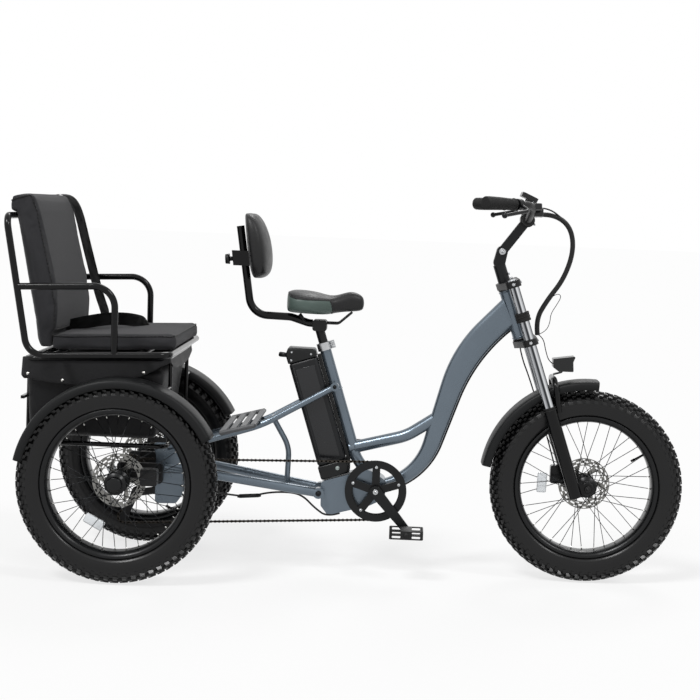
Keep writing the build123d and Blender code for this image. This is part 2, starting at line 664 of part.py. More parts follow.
# Lower legs with dropouts, the bridge over the tyre, the front axle and the brake caliper.
AXLE_ROD_R = 6.0
with BuildPart() as fork_lowers:
    with BuildSketch(STEER.offset(LOWER_END)):
        with Locations((LEG_FORWARD, LEG_SPAN / 2), (LEG_FORWARD, -LEG_SPAN / 2)):
            Circle(LOWER_R)
    extrude(amount=LOWER_TOP - LOWER_END)
    for side in (-1, 1):
        with BuildSketch(STEER_SIDE.offset(-side * 64)):
            with Locations((LEG_FORWARD + 2, LOWER_END + 26)):
                Circle(17)
            with Locations((FORK_OFFSET, -AXLE_TO_HEAD)):
                Circle(15)
            make_hull()
        extrude(amount=-side * 9)
    with BuildLine(STEER) as arch_route:
        FilletPolyline((44, -LEG_SPAN / 2, LOWER_TOP - 20), (ARCH_FORWARD, 6 - LEG_SPAN / 2, ARCH_S),
                       (ARCH_FORWARD, LEG_SPAN / 2 - 6, ARCH_S), (44, LEG_SPAN / 2, LOWER_TOP - 20),
                       radius=34)
    with BuildSketch(Plane(origin=arch_route.line @ 0, z_dir=arch_route.line % 0)):
        Circle(ARCH_R)
    sweep()
    bridge_middle = STEER.from_local_coords(Vector(ARCH_FORWARD, 0, ARCH_S))
    to_wheel = front_axle - bridge_middle
    with BuildSketch(Plane(origin=bridge_middle, x_dir=(0, 1, 0), z_dir=to_wheel)):
        RectangleRounded(34, 16, 4)
    extrude(amount=to_wheel.length - FRONT_FENDER_R)
    with BuildSketch(STEER_SIDE):
        with Locations((FORK_OFFSET, -AXLE_TO_HEAD)):
            Circle(AXLE_ROD_R)
    extrude(amount=76, both=True)
    with BuildSketch(SIDE.offset(-34)):
        with Locations((WHEELBASE - 84, TYRE_R + 26)):
            RectangleRounded(46, 56, 7)
    extrude(amount=-28)
    with BuildSketch(SIDE.offset(3 - ROTOR_OUT)):
        with Locations((WHEELBASE, TYRE_R)):
            Circle(ROTOR_R + 3)
            Circle(40, mode=Mode.SUBTRACT)
    extrude(amount=-6, mode=Mode.SUBTRACT)
save(fork_lowers, "fork_lowers")

# Adjustable stem: sleeve on the steerer, angled arm and handlebar clamp.
STEM_JOINT = (20, 206)
BAR_X = WHEELBASE - 218.0
BAR_Z = 1112.0
BAR_R = 11.1
BAR_CENTRE_R = 15.9
bar_spot = Vector(REAR_AXLE_X + BAR_X, 0, BAR_Z) - head_middle
bar_in_steer = (bar_spot.dot(axis_ahead), bar_spot.dot(axis_up))
with BuildPart() as stem:
    with BuildSketch(STEER.offset(upper_crown_s + CROWN_T + FIT)):
        Circle(19)
    extrude(amount=56)
    with BuildSketch(STEER_SIDE):
        with Locations((2, 176)):
            Circle(18)
        with Locations(STEM_JOINT):
            Circle(17)
        make_hull()
    extrude(amount=15, both=True)
    with BuildSketch(STEER_SIDE):
        with Locations(STEM_JOINT):
            Circle(14)
        with Locations(bar_in_steer):
            Circle(14)
        make_hull()
    extrude(amount=14, both=True)
    with BuildSketch(STEER_SIDE):
        with Locations(bar_in_steer):
            Circle(BAR_CENTRE_R + 6)
    extrude(amount=24, both=True)
    with BuildSketch(STEER_SIDE):
        with Locations(bar_in_steer):
            Circle(BAR_CENTRE_R + RUN)
    extrude(amount=30, both=True, mode=Mode.SUBTRACT)
    with BuildSketch(STEER.offset(upper_crown_s + CROWN_T)):
        Circle(STEERER_R + RUN)
    extrude(amount=57, mode=Mode.SUBTRACT)
save(stem, "stem")

# Handlebar: thick middle, rising arms swept back to the grips.
GRIP_L = 125.0
GRIP_R = 16.5
BAR_POINTS = ((BAR_X, 0, BAR_Z), (BAR_X, 44, BAR_Z), (BAR_X + 6, 140, 1150), (BAR_X - 10, 177, 1157),
              (BAR_X - 143, 310, 1158))
with BuildPart() as handlebar:
    with BuildLine(CAR) as bar_route:
        FilletPolyline(*BAR_POINTS, radius=[40, 60, 60])
    with BuildSketch(Plane(origin=bar_route.line @ 0, z_dir=bar_route.line % 0)):
        Circle(BAR_R)
    sweep()
    with BuildSketch(Plane(origin=bar_route.line @ 0, z_dir=(0, 1, 0))):
        Circle(BAR_CENTRE_R)
    extrude(amount=42)
    mirror(about=Plane.XZ)
save(handlebar, "handlebar")

# Grips on the two bar ends.
bar_end = CAR.from_local_coords(Vector(*BAR_POINTS[-1]))
bar_bend = CAR.from_local_coords(Vector(*BAR_POINTS[-2]))
grip_way = (bar_end - bar_bend).normalized()
with BuildPart() as grips:
    with BuildSketch(Plane(origin=bar_end - grip_way * (GRIP_L - 4), z_dir=grip_way)):
        Circle(GRIP_R)
        Circle(BAR_R + RUN, mode=Mode.SUBTRACT)
    extrude(amount=GRIP_L - 4)
    with BuildSketch(Plane(origin=bar_end, z_dir=grip_way)):
        Circle(GRIP_R)
    extrude(amount=4)
    mirror(about=Plane.XZ)
save(grips, "grips")

# Brake levers with their clamps, beside the grips.
lever_start = bar_end - grip_way * (GRIP_L + 26)
lever_side = grip_way.cross(Vector(0, 0, 1)).normalized()
if lever_side.X < 0:
    lever_side = -lever_side
with BuildPart() as brake_levers:
    with BuildSketch(Plane(origin=lever_start, z_dir=grip_way)):
        Circle(17)
        Circle(BAR_R + RUN, mode=Mode.SUBTRACT)
    extrude(amount=18)
    with BuildLine() as lever_route:
        FilletPolyline(lever_start + grip_way * 9 + lever_side * 15 - Vector(0, 0, 4),
                       lever_start + grip_way * 16 + lever_side * 46 - Vector(0, 0, 18),
                       lever_start + grip_way * 118 + lever_side * 44 - Vector(0, 0, 34), radius=14)
    with BuildSketch(Plane(origin=lever_route.line @ 0, z_dir=lever_route.line % 0)):
        Circle(5.5)
    sweep()
    mirror(about=Plane.XZ)
save(brake_levers, "brake_levers")

# Display: tilted housing over the bar clamp on two clamp arms.
display_middle = CAR.from_local_coords(Vector(BAR_X + 2, 0, BAR_Z + 69))
display_tilt = radians(24)
DISPLAY = Plane(origin=display_middle, x_dir=(cos(display_tilt), 0, -sin(display_tilt)),
                z_dir=(sin(display_tilt), 0, cos(display_tilt)))
with BuildPart() as display:
    with BuildSketch(DISPLAY.offset(-7)):
        RectangleRounded(52, 92, 8)
    extrude(amount=14)
    for side in (-1, 1):
        with BuildSketch(SIDE.offset(-side * 32)):
            with Locations((BAR_X, BAR_Z)):
                Circle(19)
            with Locations((BAR_X, BAR_Z + 60)):
                Circle(7)
            make_hull()
        extrude(amount=-side * 8)
        with BuildSketch(SIDE.offset(-side * 31)):
            with Locations((BAR_X, BAR_Z)):
                Circle(BAR_CENTRE_R + RUN)
        extrude(amount=-side * 20, mode=Mode.SUBTRACT)
save(display, "display")

# Headlight on its bent bracket from the fork bridge.
with BuildPart() as headlight:
    with BuildSketch(FRONT_SIDE):
        with BuildLine():
            FilletPolyline((-120, 690), (-51, 700), (-58, 682), (-56, 652), (-102, 652), (-119, 664),
                           radius=3, close=True)
        make_face()
    extrude(amount=26, both=True)
    with BuildLine(FRONT) as bracket_route:
        FilletPolyline((-86, 0, 656), (-92, 0, 648), (-116, 0, 641), radius=4)
    with BuildSketch(Plane(origin=bracket_route.line @ 0, z_dir=bracket_route.line % 0)):
        Rectangle(5, 16)
    sweep()
save(headlight, "headlight")

# Front fender between the fork legs.
fender_middle = (REAR_AXLE_X + WHEELBASE, 0, TYRE_R)
with BuildPart() as front_fender:
    with BuildSketch(wheel_plane(fender_middle, 170)):
        with Locations((FRONT_FENDER_R - FENDER_LIP / 2, 0)):
            Rectangle(FENDER_LIP, 2 * FENDER_HALF_W)
        with Locations((FRONT_FENDER_R - FENDER_LIP / 2 - FENDER_T, 0)):
            Rectangle(FENDER_LIP, 2 * (FENDER_HALF_W - FENDER_T), mode=Mode.SUBTRACT)
    revolve(axis=Axis(fender_middle, (0, 1, 0)), revolution_arc=84)
save(front_fender, "front_fender")

# Cable bundle from the bar down to the lower crown.
BUNDLE = ((-194, 0, 1128), (-150, 0, 1136), (-88, 0, 1104), (-70, 0, 1030), (-96, 0, 938), (-146, 0, 868),
          (-178, 0, 806), (-170, 0, 760))
BUNDLE_R = 8.0


def cord_bends(points):
    """The largest tidy bend radius at each corner of a cord's route."""
    spots = [Vector(*point) for point in points]
    bends = []
    for before, here, after in zip(spots, spots[1:], spots[2:]):
        first, second = here - before, after - here
        turn = radians(first.get_angle(second))
        bends.append(0.45 * min(first.length, second.length) / sin(turn / 2) * cos(turn / 2))
    return bends


with BuildPart() as cable_bundle:
    with BuildLine(FRONT) as bundle_route:
        FilletPolyline(*BUNDLE, radius=cord_bends(BUNDLE))
    with BuildSketch(Plane(origin=bundle_route.line @ 0, z_dir=bundle_route.line % 0)):
        Circle(BUNDLE_R)
    sweep()
save(cable_bundle, "cable_bundle")

# Wheels: tyre, spoked wheel and brake rotor. Lengths along the axle run from the wheel's middle
# plane; inboard is the rotor's side.
# name, station, middle y, rotor side, hub end on the rotor side, other hub end, bore end, bore radius
WHEELS = (("front", WHEELBASE, 0.0, 1, 62.0, -62.0, -62.0, AXLE_ROD_R),
          ("rear_right", 0.0, -TRACK / 2, 1, 63.5, -46.0, -31.0, STUB_R),
          ("rear_left", 0.0, TRACK / 2, -1, 63.5, -46.0, -31.0, STUB_R))
for name, station, middle_y, rotor_side, hub_in, hub_out, bore_end, axle_r in WHEELS:
    centre = Vector(REAR_AXLE_X + station, middle_y, TYRE_R)
    section = wheel_plane(centre, 90)
    spin_axis = Axis(centre, (0, 1, 0))
    bead = RIM_W / 2 - 3.5
    with BuildPart() as tyre:
        with BuildSketch(section):
            with BuildLine():
                Polyline((RIM_R + RIM_LIP + 1.5, -RIM_W / 2 - 1), (RIM_R + RIM_LIP + 1.5, -bead),
                         (RIM_R + 0.2, -bead), (RIM_R + 0.2, bead), (RIM_R + RIM_LIP + 1.5, bead),
                         (RIM_R + RIM_LIP + 1.5, RIM_W / 2 + 1))
                ThreePointArc((RIM_R + RIM_LIP + 1.5, RIM_W / 2 + 1), (252, TYRE_W / 2),
                              (TYRE_R - 14, TYRE_W / 2 - 4))
                ThreePointArc((TYRE_R - 14, TYRE_W / 2 - 4), (TYRE_R, 0), (TYRE_R - 14, 4 - TYRE_W / 2))
                ThreePointArc((TYRE_R - 14, 4 - TYRE_W / 2), (252, -TYRE_W / 2),
                              (RIM_R + RIM_LIP + 1.5, -RIM_W / 2 - 1))
            make_face()
        revolve(axis=spin_axis)
    save(tyre, f"tyre_{name}")

    with BuildPart() as wheel:
        with BuildSketch(section):
            with BuildLine():
                Polyline((RIM_IN_R, -26), (RIM_IN_R, 26), (RIM_IN_R + 8, RIM_W / 2 - 2),
                         (RIM_R + RIM_LIP, RIM_W / 2), (RIM_R + RIM_LIP, bead + 0.2), (RIM_R, bead + 0.2),
                         (RIM_R, -bead - 0.2), (RIM_R + RIM_LIP, -bead - 0.2), (RIM_R + RIM_LIP, -RIM_W / 2),
                         (RIM_IN_R + 8, 2 - RIM_W / 2), close=True)
            make_face()
        revolve(axis=spin_axis)
        with BuildSketch(section):
            ends = sorted((rotor_side * hub_in, rotor_side * hub_out))
            with Locations((HUB_R / 2, sum(ends) / 2)):
                Rectangle(HUB_R, ends[1] - ends[0])
            for flange in (-FLANGE_HALF, FLANGE_HALF):
                with Locations((FLANGE_R / 2, flange)):
                    Rectangle(FLANGE_R, 4)
        revolve(axis=spin_axis)
        spoke_planes = []
        for spoke in range(SPOKE_COUNT):
            flange_side = 1 if spoke % 2 else -1
            lead = 60 if spoke % 4 < 2 else -60
            rim_angle = radians(360 / SPOKE_COUNT * spoke)
            hub_angle = rim_angle + radians(lead)
            inner = centre + Vector((FLANGE_R - 3) * cos(hub_angle), flange_side * FLANGE_HALF,
                                    (FLANGE_R - 3) * sin(hub_angle))
            outer = centre + Vector((RIM_IN_R + 2) * cos(rim_angle), flange_side * 9,
                                    (RIM_IN_R + 2) * sin(rim_angle))
            spoke_planes.append(Plane(origin=inner, z_dir=outer - inner))
            spoke_length = (outer - inner).length
        with BuildSketch(*spoke_planes):
            RegularPolygon(SPOKE_R, 6)
        extrude(amount=spoke_length)
        with BuildSketch(SIDE.offset(-middle_y - rotor_side * hub_in)):
            with Locations((station, TYRE_R)):
                Circle(axle_r + RUN)
        extrude(amount=rotor_side * (hub_in - bore_end), mode=Mode.SUBTRACT)
    save(wheel, f"wheel_{name}")

    with BuildPart() as rotor:
        with BuildSketch(SIDE.offset(-middle_y - rotor_side * ROTOR_OUT)):
            with Locations((station, TYRE_R)):
                Circle(ROTOR_R)
                Circle(ROTOR_R - 14, mode=Mode.SUBTRACT)
                Circle(34)
                Circle(HUB_R + RUN, mode=Mode.SUBTRACT)
            with Locations((station, TYRE_R)):
                with PolarLocations(48, 6, start_angle=15):
                    Rectangle(44, 7, rotation=24)
        extrude(amount=ROTOR_T / 2, both=True)
    save(rotor, f"rotor_{name}")

# Crank set: toothed ring with a guard on five arms, crank axle and two crank arms.
CHAINRING_TEETH = 44
ARM_Y = 76.0
ARM_T = 12.0
crank_angle = radians(CRANK_DROP)
with BuildPart() as chainring:
    with BuildSketch(SIDE.offset(chain_y - 2)):
        with Locations((CRANK_X, CRANK_Z)):
            Circle(CHAINRING_R - TOOTH_H)
            Circle(CHAINRING_R - 14, mode=Mode.SUBTRACT)
            with PolarLocations(CHAINRING_R - TOOTH_H / 2 - 0.5, CHAINRING_TEETH):
                Trapezoid(7, TOOTH_H + 1, 64, rotation=-90)
    extrude(amount=4)
    with BuildSketch(SIDE.offset(chain_y + CHAIN_W / 2 + 1)):
        with Locations((CRANK_X, CRANK_Z)):
            Circle(GUARD_R)
            Circle(CHAINRING_R - 11, mode=Mode.SUBTRACT)
    extrude(amount=3)
    with BuildSketch(SIDE.offset(chain_y - 2)):
        with Locations((CRANK_X, CRANK_Z)):
            Circle(24)
            Circle(CRANK_AXLE_R + RUN, mode=Mode.SUBTRACT)
            with PolarLocations(48, 5, start_angle=18):
                Trapezoid(60, 24, 82, rotation=0)
            Circle(CRANK_AXLE_R + RUN, mode=Mode.SUBTRACT)
    extrude(amount=CHAIN_W / 2 + 6)
save(chainring, "chainring")

pedal_x = CRANK_X + CRANK_LENGTH * cos(crank_angle)
pedal_z = CRANK_Z - CRANK_LENGTH * sin(crank_angle)
with BuildPart() as crank_arms:
    with BuildSketch(SIDE):
        with Locations((CRANK_X, CRANK_Z)):
            Circle(CRANK_AXLE_R)
    extrude(amount=ARM_Y + ARM_T, both=True)
    for side in (-1, 1):
        end_x = CRANK_X - side * CRANK_LENGTH * cos(crank_angle)
        end_z = CRANK_Z + side * CRANK_LENGTH * sin(crank_angle)
        with BuildSketch(SIDE.offset(-side * ARM_Y)):
            with Locations((CRANK_X, CRANK_Z)):
                Circle(18)
            with Locations((end_x, end_z)):
                Circle(12)
            make_hull()
        extrude(amount=-side * ARM_T)
        with BuildSketch(SIDE.offset(-side * (ARM_Y + ARM_T))):
            with Locations((end_x, end_z)):
                Circle(6)
        extrude(amount=-side * (PEDAL_W + 4))
save(crank_arms, "crank_arms")

# Pedals: open frames round a spindle tube.
for side, name in ((-1, "right"), (1, "left")):
    end_x = CRANK_X - side * CRANK_LENGTH * cos(crank_angle)
    end_z = CRANK_Z + side * CRANK_LENGTH * sin(crank_angle)
    pedal_middle_y = side * (ARM_Y + ARM_T + 6 + PEDAL_W / 2)
    with BuildPart() as pedal:
        with BuildSketch(CAR.offset(end_z - PEDAL_T / 2)):
            with Locations((end_x, pedal_middle_y)):
                RectangleRounded(PEDAL_L, PEDAL_W, 9)
                for half in (-1, 1):
                    with Locations((half * 30, 0)):
                        RectangleRounded(26, PEDAL_W - 20, 5, mode=Mode.SUBTRACT)
        extrude(amount=PEDAL_T)
        with BuildSketch(SIDE.offset(-pedal_middle_y - PEDAL_W)):
            with Locations((end_x, end_z)):
                Circle(6 + RUN)
                with GridLocations(60, 12, 2, 2):
                    RectangleRounded(26, 8, 2)
        extrude(amount=2 * PEDAL_W, mode=Mode.SUBTRACT)
    save(pedal, f"pedal_{name}")
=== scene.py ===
import bmesh
import bpy
import random
from math import atan2, cos, pi, radians, sin, sqrt
from mathutils import Matrix, Vector


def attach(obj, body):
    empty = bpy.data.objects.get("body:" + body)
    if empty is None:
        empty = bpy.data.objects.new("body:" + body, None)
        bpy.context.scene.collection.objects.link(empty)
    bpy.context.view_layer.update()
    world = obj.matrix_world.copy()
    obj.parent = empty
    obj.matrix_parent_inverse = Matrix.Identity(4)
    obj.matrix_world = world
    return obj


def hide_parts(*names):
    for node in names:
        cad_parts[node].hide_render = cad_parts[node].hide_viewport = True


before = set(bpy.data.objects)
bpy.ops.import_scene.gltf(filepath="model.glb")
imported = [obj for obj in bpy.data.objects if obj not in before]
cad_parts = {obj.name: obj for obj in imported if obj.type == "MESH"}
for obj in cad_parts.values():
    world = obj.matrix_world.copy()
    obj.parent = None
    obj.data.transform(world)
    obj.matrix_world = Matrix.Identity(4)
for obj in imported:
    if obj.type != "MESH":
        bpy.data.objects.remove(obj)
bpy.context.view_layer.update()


# The real frame is welded from round and formed alloy tube: a deep swan-neck tube from the head
# tube to the crank housing, a thin cross tube and the seat tube. It is sprayed in metallic slate
# paint under clear lacquer; the weld beads show as small ripples under the paint.
REAR_AXLE_X = -0.67925
TYRE_R = 0.2975
TRACK_HALF = 0.3275
WHEELBASE = 1.408


def linear(hex_colour):
    """An sRGB hex colour as linear red, green, blue and alpha."""
    values = [int(hex_colour[i:i + 2], 16) / 255 for i in (1, 3, 5)]
    return [v / 12.92 if v <= 0.04045 else ((v + 0.055) / 1.055) ** 2.4 for v in values] + [1.0]


def add_node(tree, kind, settings=(), links=()):
    """Adds a shader node: settings are (name, value) pairs, links are (input, from node, output)."""
    node = tree.nodes.new(kind)
    for name, value in settings:
        if name in node.inputs:
            node.inputs[name].default_value = value
        else:
            setattr(node, name, value)
    for socket, source, output in links:
        tree.links.new(source.outputs[output], node.inputs[socket])
    return node


def start_material(name, colour, roughness, metallic=0.0, **sockets):
    """A material with its shader's plain values set; returns it, its tree and its shader."""
    material = bpy.data.materials.new(name)
    material.use_nodes = True
    tree = material.node_tree
    shader = tree.nodes["Principled BSDF"]
    shader.inputs["Base Color"].default_value = linear(colour)
    shader.inputs["Roughness"].default_value = roughness
    shader.inputs["Metallic"].default_value = metallic
    for name, value in sockets.items():
        shader.inputs[name.replace("_", " ")].default_value = value
    return material, tree, shader


def vary(tree, shader, colour, other, scale, rough_low, rough_high, bump=0.0, bump_scale=None):
    """Object-space noise that shifts a material's colour and roughness, and its bump."""
    place = add_node(tree, "ShaderNodeTexCoord")
    noise = add_node(tree, "ShaderNodeTexNoise", (("Scale", scale), ("Detail", 4.0)),
                     (("Vector", place, "Object"),))
    mix = add_node(tree, "ShaderNodeMix", (("data_type", "RGBA"),), (("Factor", noise, "Fac"),))
    mix.inputs[6].default_value = linear(colour)
    mix.inputs[7].default_value = linear(other)
    tree.links.new(mix.outputs[2], shader.inputs["Base Color"])
    spread = add_node(tree, "ShaderNodeMapRange",
                      (("From Min", 0.3), ("From Max", 0.7), ("To Min", rough_low), ("To Max", rough_high)),
                      (("Value", noise, "Fac"),))
    tree.links.new(spread.outputs["Result"], shader.inputs["Roughness"])
    if bump:
        grain = add_node(tree, "ShaderNodeTexNoise", (("Scale", bump_scale), ("Detail", 3.0)),
                         (("Vector", place, "Object"),))
        raised = add_node(tree, "ShaderNodeBump", (("Strength", 0.6), ("Distance", bump)),
                          (("Height", grain, "Fac"),))
        tree.links.new(raised.outputs["Normal"], shader.inputs["Normal"])
    return place


def dress(node, material):
    """Gives a CAD node its material."""
    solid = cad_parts[node]
    solid.data.materials.clear()
    solid.data.materials.append(material)


def piece(bm, name, *materials, smooth=True):
    """Turns a bmesh into a piece in the scene, with its materials and smooth or flat shading."""
    mesh = bpy.data.meshes.new(name)
    for face in bm.faces:
        face.smooth = smooth
    bm.to_mesh(mesh)
    bm.free()
    for material in materials:
        mesh.materials.append(material)
    made = bpy.data.objects.new(name, mesh)
    bpy.context.scene.collection.objects.link(made)
    return made


def spot(x, y, z):
    """A point given in mm forward from the rear axle, left of the middle, and up."""
    return Vector((REAR_AXLE_X + x / 1000, y / 1000, z / 1000))


def aim(origin, way, side=Vector((0, 1, 0))):
    """A matrix with local z along a direction and its origin at a point."""
    z = way.normalized()
    x = side.cross(z)
    if x.length < 1e-4:
        x = Vector((1, 0, 0)).cross(z)
    x.normalize()
    y = z.cross(x)
    return Matrix(((x.x, y.x, z.x, origin.x), (x.y, y.y, z.y, origin.y), (x.z, y.z, z.z, origin.z), (0, 0, 0, 1)))


def rod(bm, start, end, radius, end_radius=None, sides=16, caps=True):
    """A round bar or cone between two points."""
    way = end - start
    return bmesh.ops.create_cone(bm, cap_ends=caps, segments=sides, radius1=radius,
                                 radius2=radius if end_radius is None else end_radius,
                                 depth=way.length, matrix=aim((start + end) / 2, way))


def bead(bm, centre, way, radius, thickness, around=40, sides=8):
    """A ring of round section about an axis, such as a weld bead or a seal."""
    place = aim(centre, way)
    circle = bmesh.ops.create_circle(bm, segments=sides, radius=thickness,
                                     matrix=place @ Matrix.Translation((radius, 0, 0))
                                     @ Matrix.Rotation(pi / 2, 4, "X"))
    edges = list({edge for vert in circle["verts"] for edge in vert.link_edges})
    spun = bmesh.ops.spin(bm, geom=edges, cent=centre, axis=way.normalized(), angle=2 * pi,
                          steps=around, use_merge=True)
    return spun


frame_paint, tree, shader = start_material("metallic_slate_paint", "#626d77", 0.28, 0.7, Coat_Weight=0.35,
                                           Coat_Roughness=0.08, Specular_IOR_Level=0.4)
# Flake in the paint, 0.8 mm across so that it shows as a soft sparkle, over slow tone changes.
vary(tree, shader, "#5a656f", "#69747e", 9.0, 0.24, 0.33, 0.00006, 1200.0)
dress("main_frame", frame_paint)
dress("rear_frame", frame_paint)

head_low, head_high = spot(1188.4, 0, 744.6), spot(1134.9, 0, 900.1)
head_way = head_high - head_low
seat_way = spot(0, 0, 951.1) - spot(309, 0, 0)
welds = bmesh.new()
for share in (0.06, 0.94):
    bead(welds, head_low.lerp(head_high, share), head_way, 0.0242, 0.0022)
bead(welds, spot(581.5, 0, 700) + seat_way.normalized() * -0.14, seat_way, 0.0178, 0.0018)
for place, way, radius in (((944, 0, 494), (98, 0, 66), 0.0195), ((690, 0, 387.6), (176, 0, 46), 0.0195)):
    bead(welds, spot(*place), Vector(way), radius, 0.0018, 32)
weld_beads = piece(welds, "weld_beads", frame_paint)
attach(weld_beads, "chassis")


# Three wheels with deep black anodised alloy rims, thirty-six black steel spokes laced crosswise
# into turned hub shells, and nickel-plated nipples. A clear plastic reflector clips on the spokes
# and the valve stem stands in the rim.
RIM_IN_R, RIM_R, RIM_HALF_W = 0.202, 0.216, 0.040
HUB_R, FLANGE_R, FLANGE_AT = 0.019, 0.033, 0.030
SPOKES = 36
# body, tyre node, wheel node, rotor node, station, middle y, rotor side, hub ends, reflector angle
WHEELS = (("front_wheel", "tyre_front", "wheel_front", "rotor_front", WHEELBASE, 0.0, 1, 0.062, -0.062, 178.0),
          ("rear_wheel_right", "tyre_rear_right", "wheel_rear_right", "rotor_rear_right", 0.0, -TRACK_HALF, 1,
           0.0635, -0.046, 242.0),
          ("rear_wheel_left", "tyre_rear_left", "wheel_rear_left", "rotor_rear_left", 0.0, TRACK_HALF, -1,
           0.0635, -0.046, 215.0))

black_anodised, tree, shader = start_material("black_anodised_aluminium", "#0d0e0f", 0.3, 0.3, Specular_IOR_Level=0.35)
# Anodising keeps a dull metal sheen with faint turning marks.
vary(tree, shader, "#0b0c0d", "#131416", 30.0, 0.24, 0.36)
black_steel, tree, shader = start_material("black_plated_steel_wire", "#1b1c1e", 0.34, 0.6, Specular_IOR_Level=0.3)
vary(tree, shader, "#161719", "#242628", 40.0, 0.3, 0.42)
nickel, tree, shader = start_material("nickel_plated_brass", "#c9c8c4", 0.22, 1.0)
vary(tree, shader, "#bdbcb8", "#d6d5d1", 60.0, 0.18, 0.32)
gloss_black, tree, shader = start_material("gloss_black_powder_coat", "#040405", 0.16, 0.0, Specular_IOR_Level=0.22)
# Powder coat has a very slight orange-peel surface, 3 mm across.
vary(tree, shader, "#030304", "#070708", 12.0, 0.12, 0.2, 0.00012, 320.0)
reflector_clear, tree, shader = start_material("clear_acrylic_reflector", "#dfe3e6", 0.12, 0.1, Coat_Weight=0.8)
facets_at = add_node(tree, "ShaderNodeTexCoord")
facets = add_node(tree, "ShaderNodeTexVoronoi", (("Scale", 260.0),), (("Vector", facets_at, "Object"),))
facet_bump = add_node(tree, "ShaderNodeBump", (("Strength", 0.7), ("Distance", 0.0006)),
                      (("Height", facets, "Distance"),))
tree.links.new(facet_bump.outputs["Normal"], shader.inputs["Normal"])


def spun_ring(bm, centre, profile, steps, closed=True):
    """Spins (radius, y) points about the wheel's axle through a centre."""
    verts = [bm.verts.new(centre + Vector((0, y, r))) for r, y in profile]
    pairs = list(zip(verts, verts[1:])) + ([(verts[-1], verts[0])] if closed else [])
    edges = [bm.edges.new(pair) for pair in pairs]
    bmesh.ops.spin(bm, geom=verts + edges, cent=centre, axis=(0, 1, 0), angle=2 * pi, steps=steps, use_merge=True)
    bmesh.ops.remove_doubles(bm, verts=bm.verts, dist=1e-6)


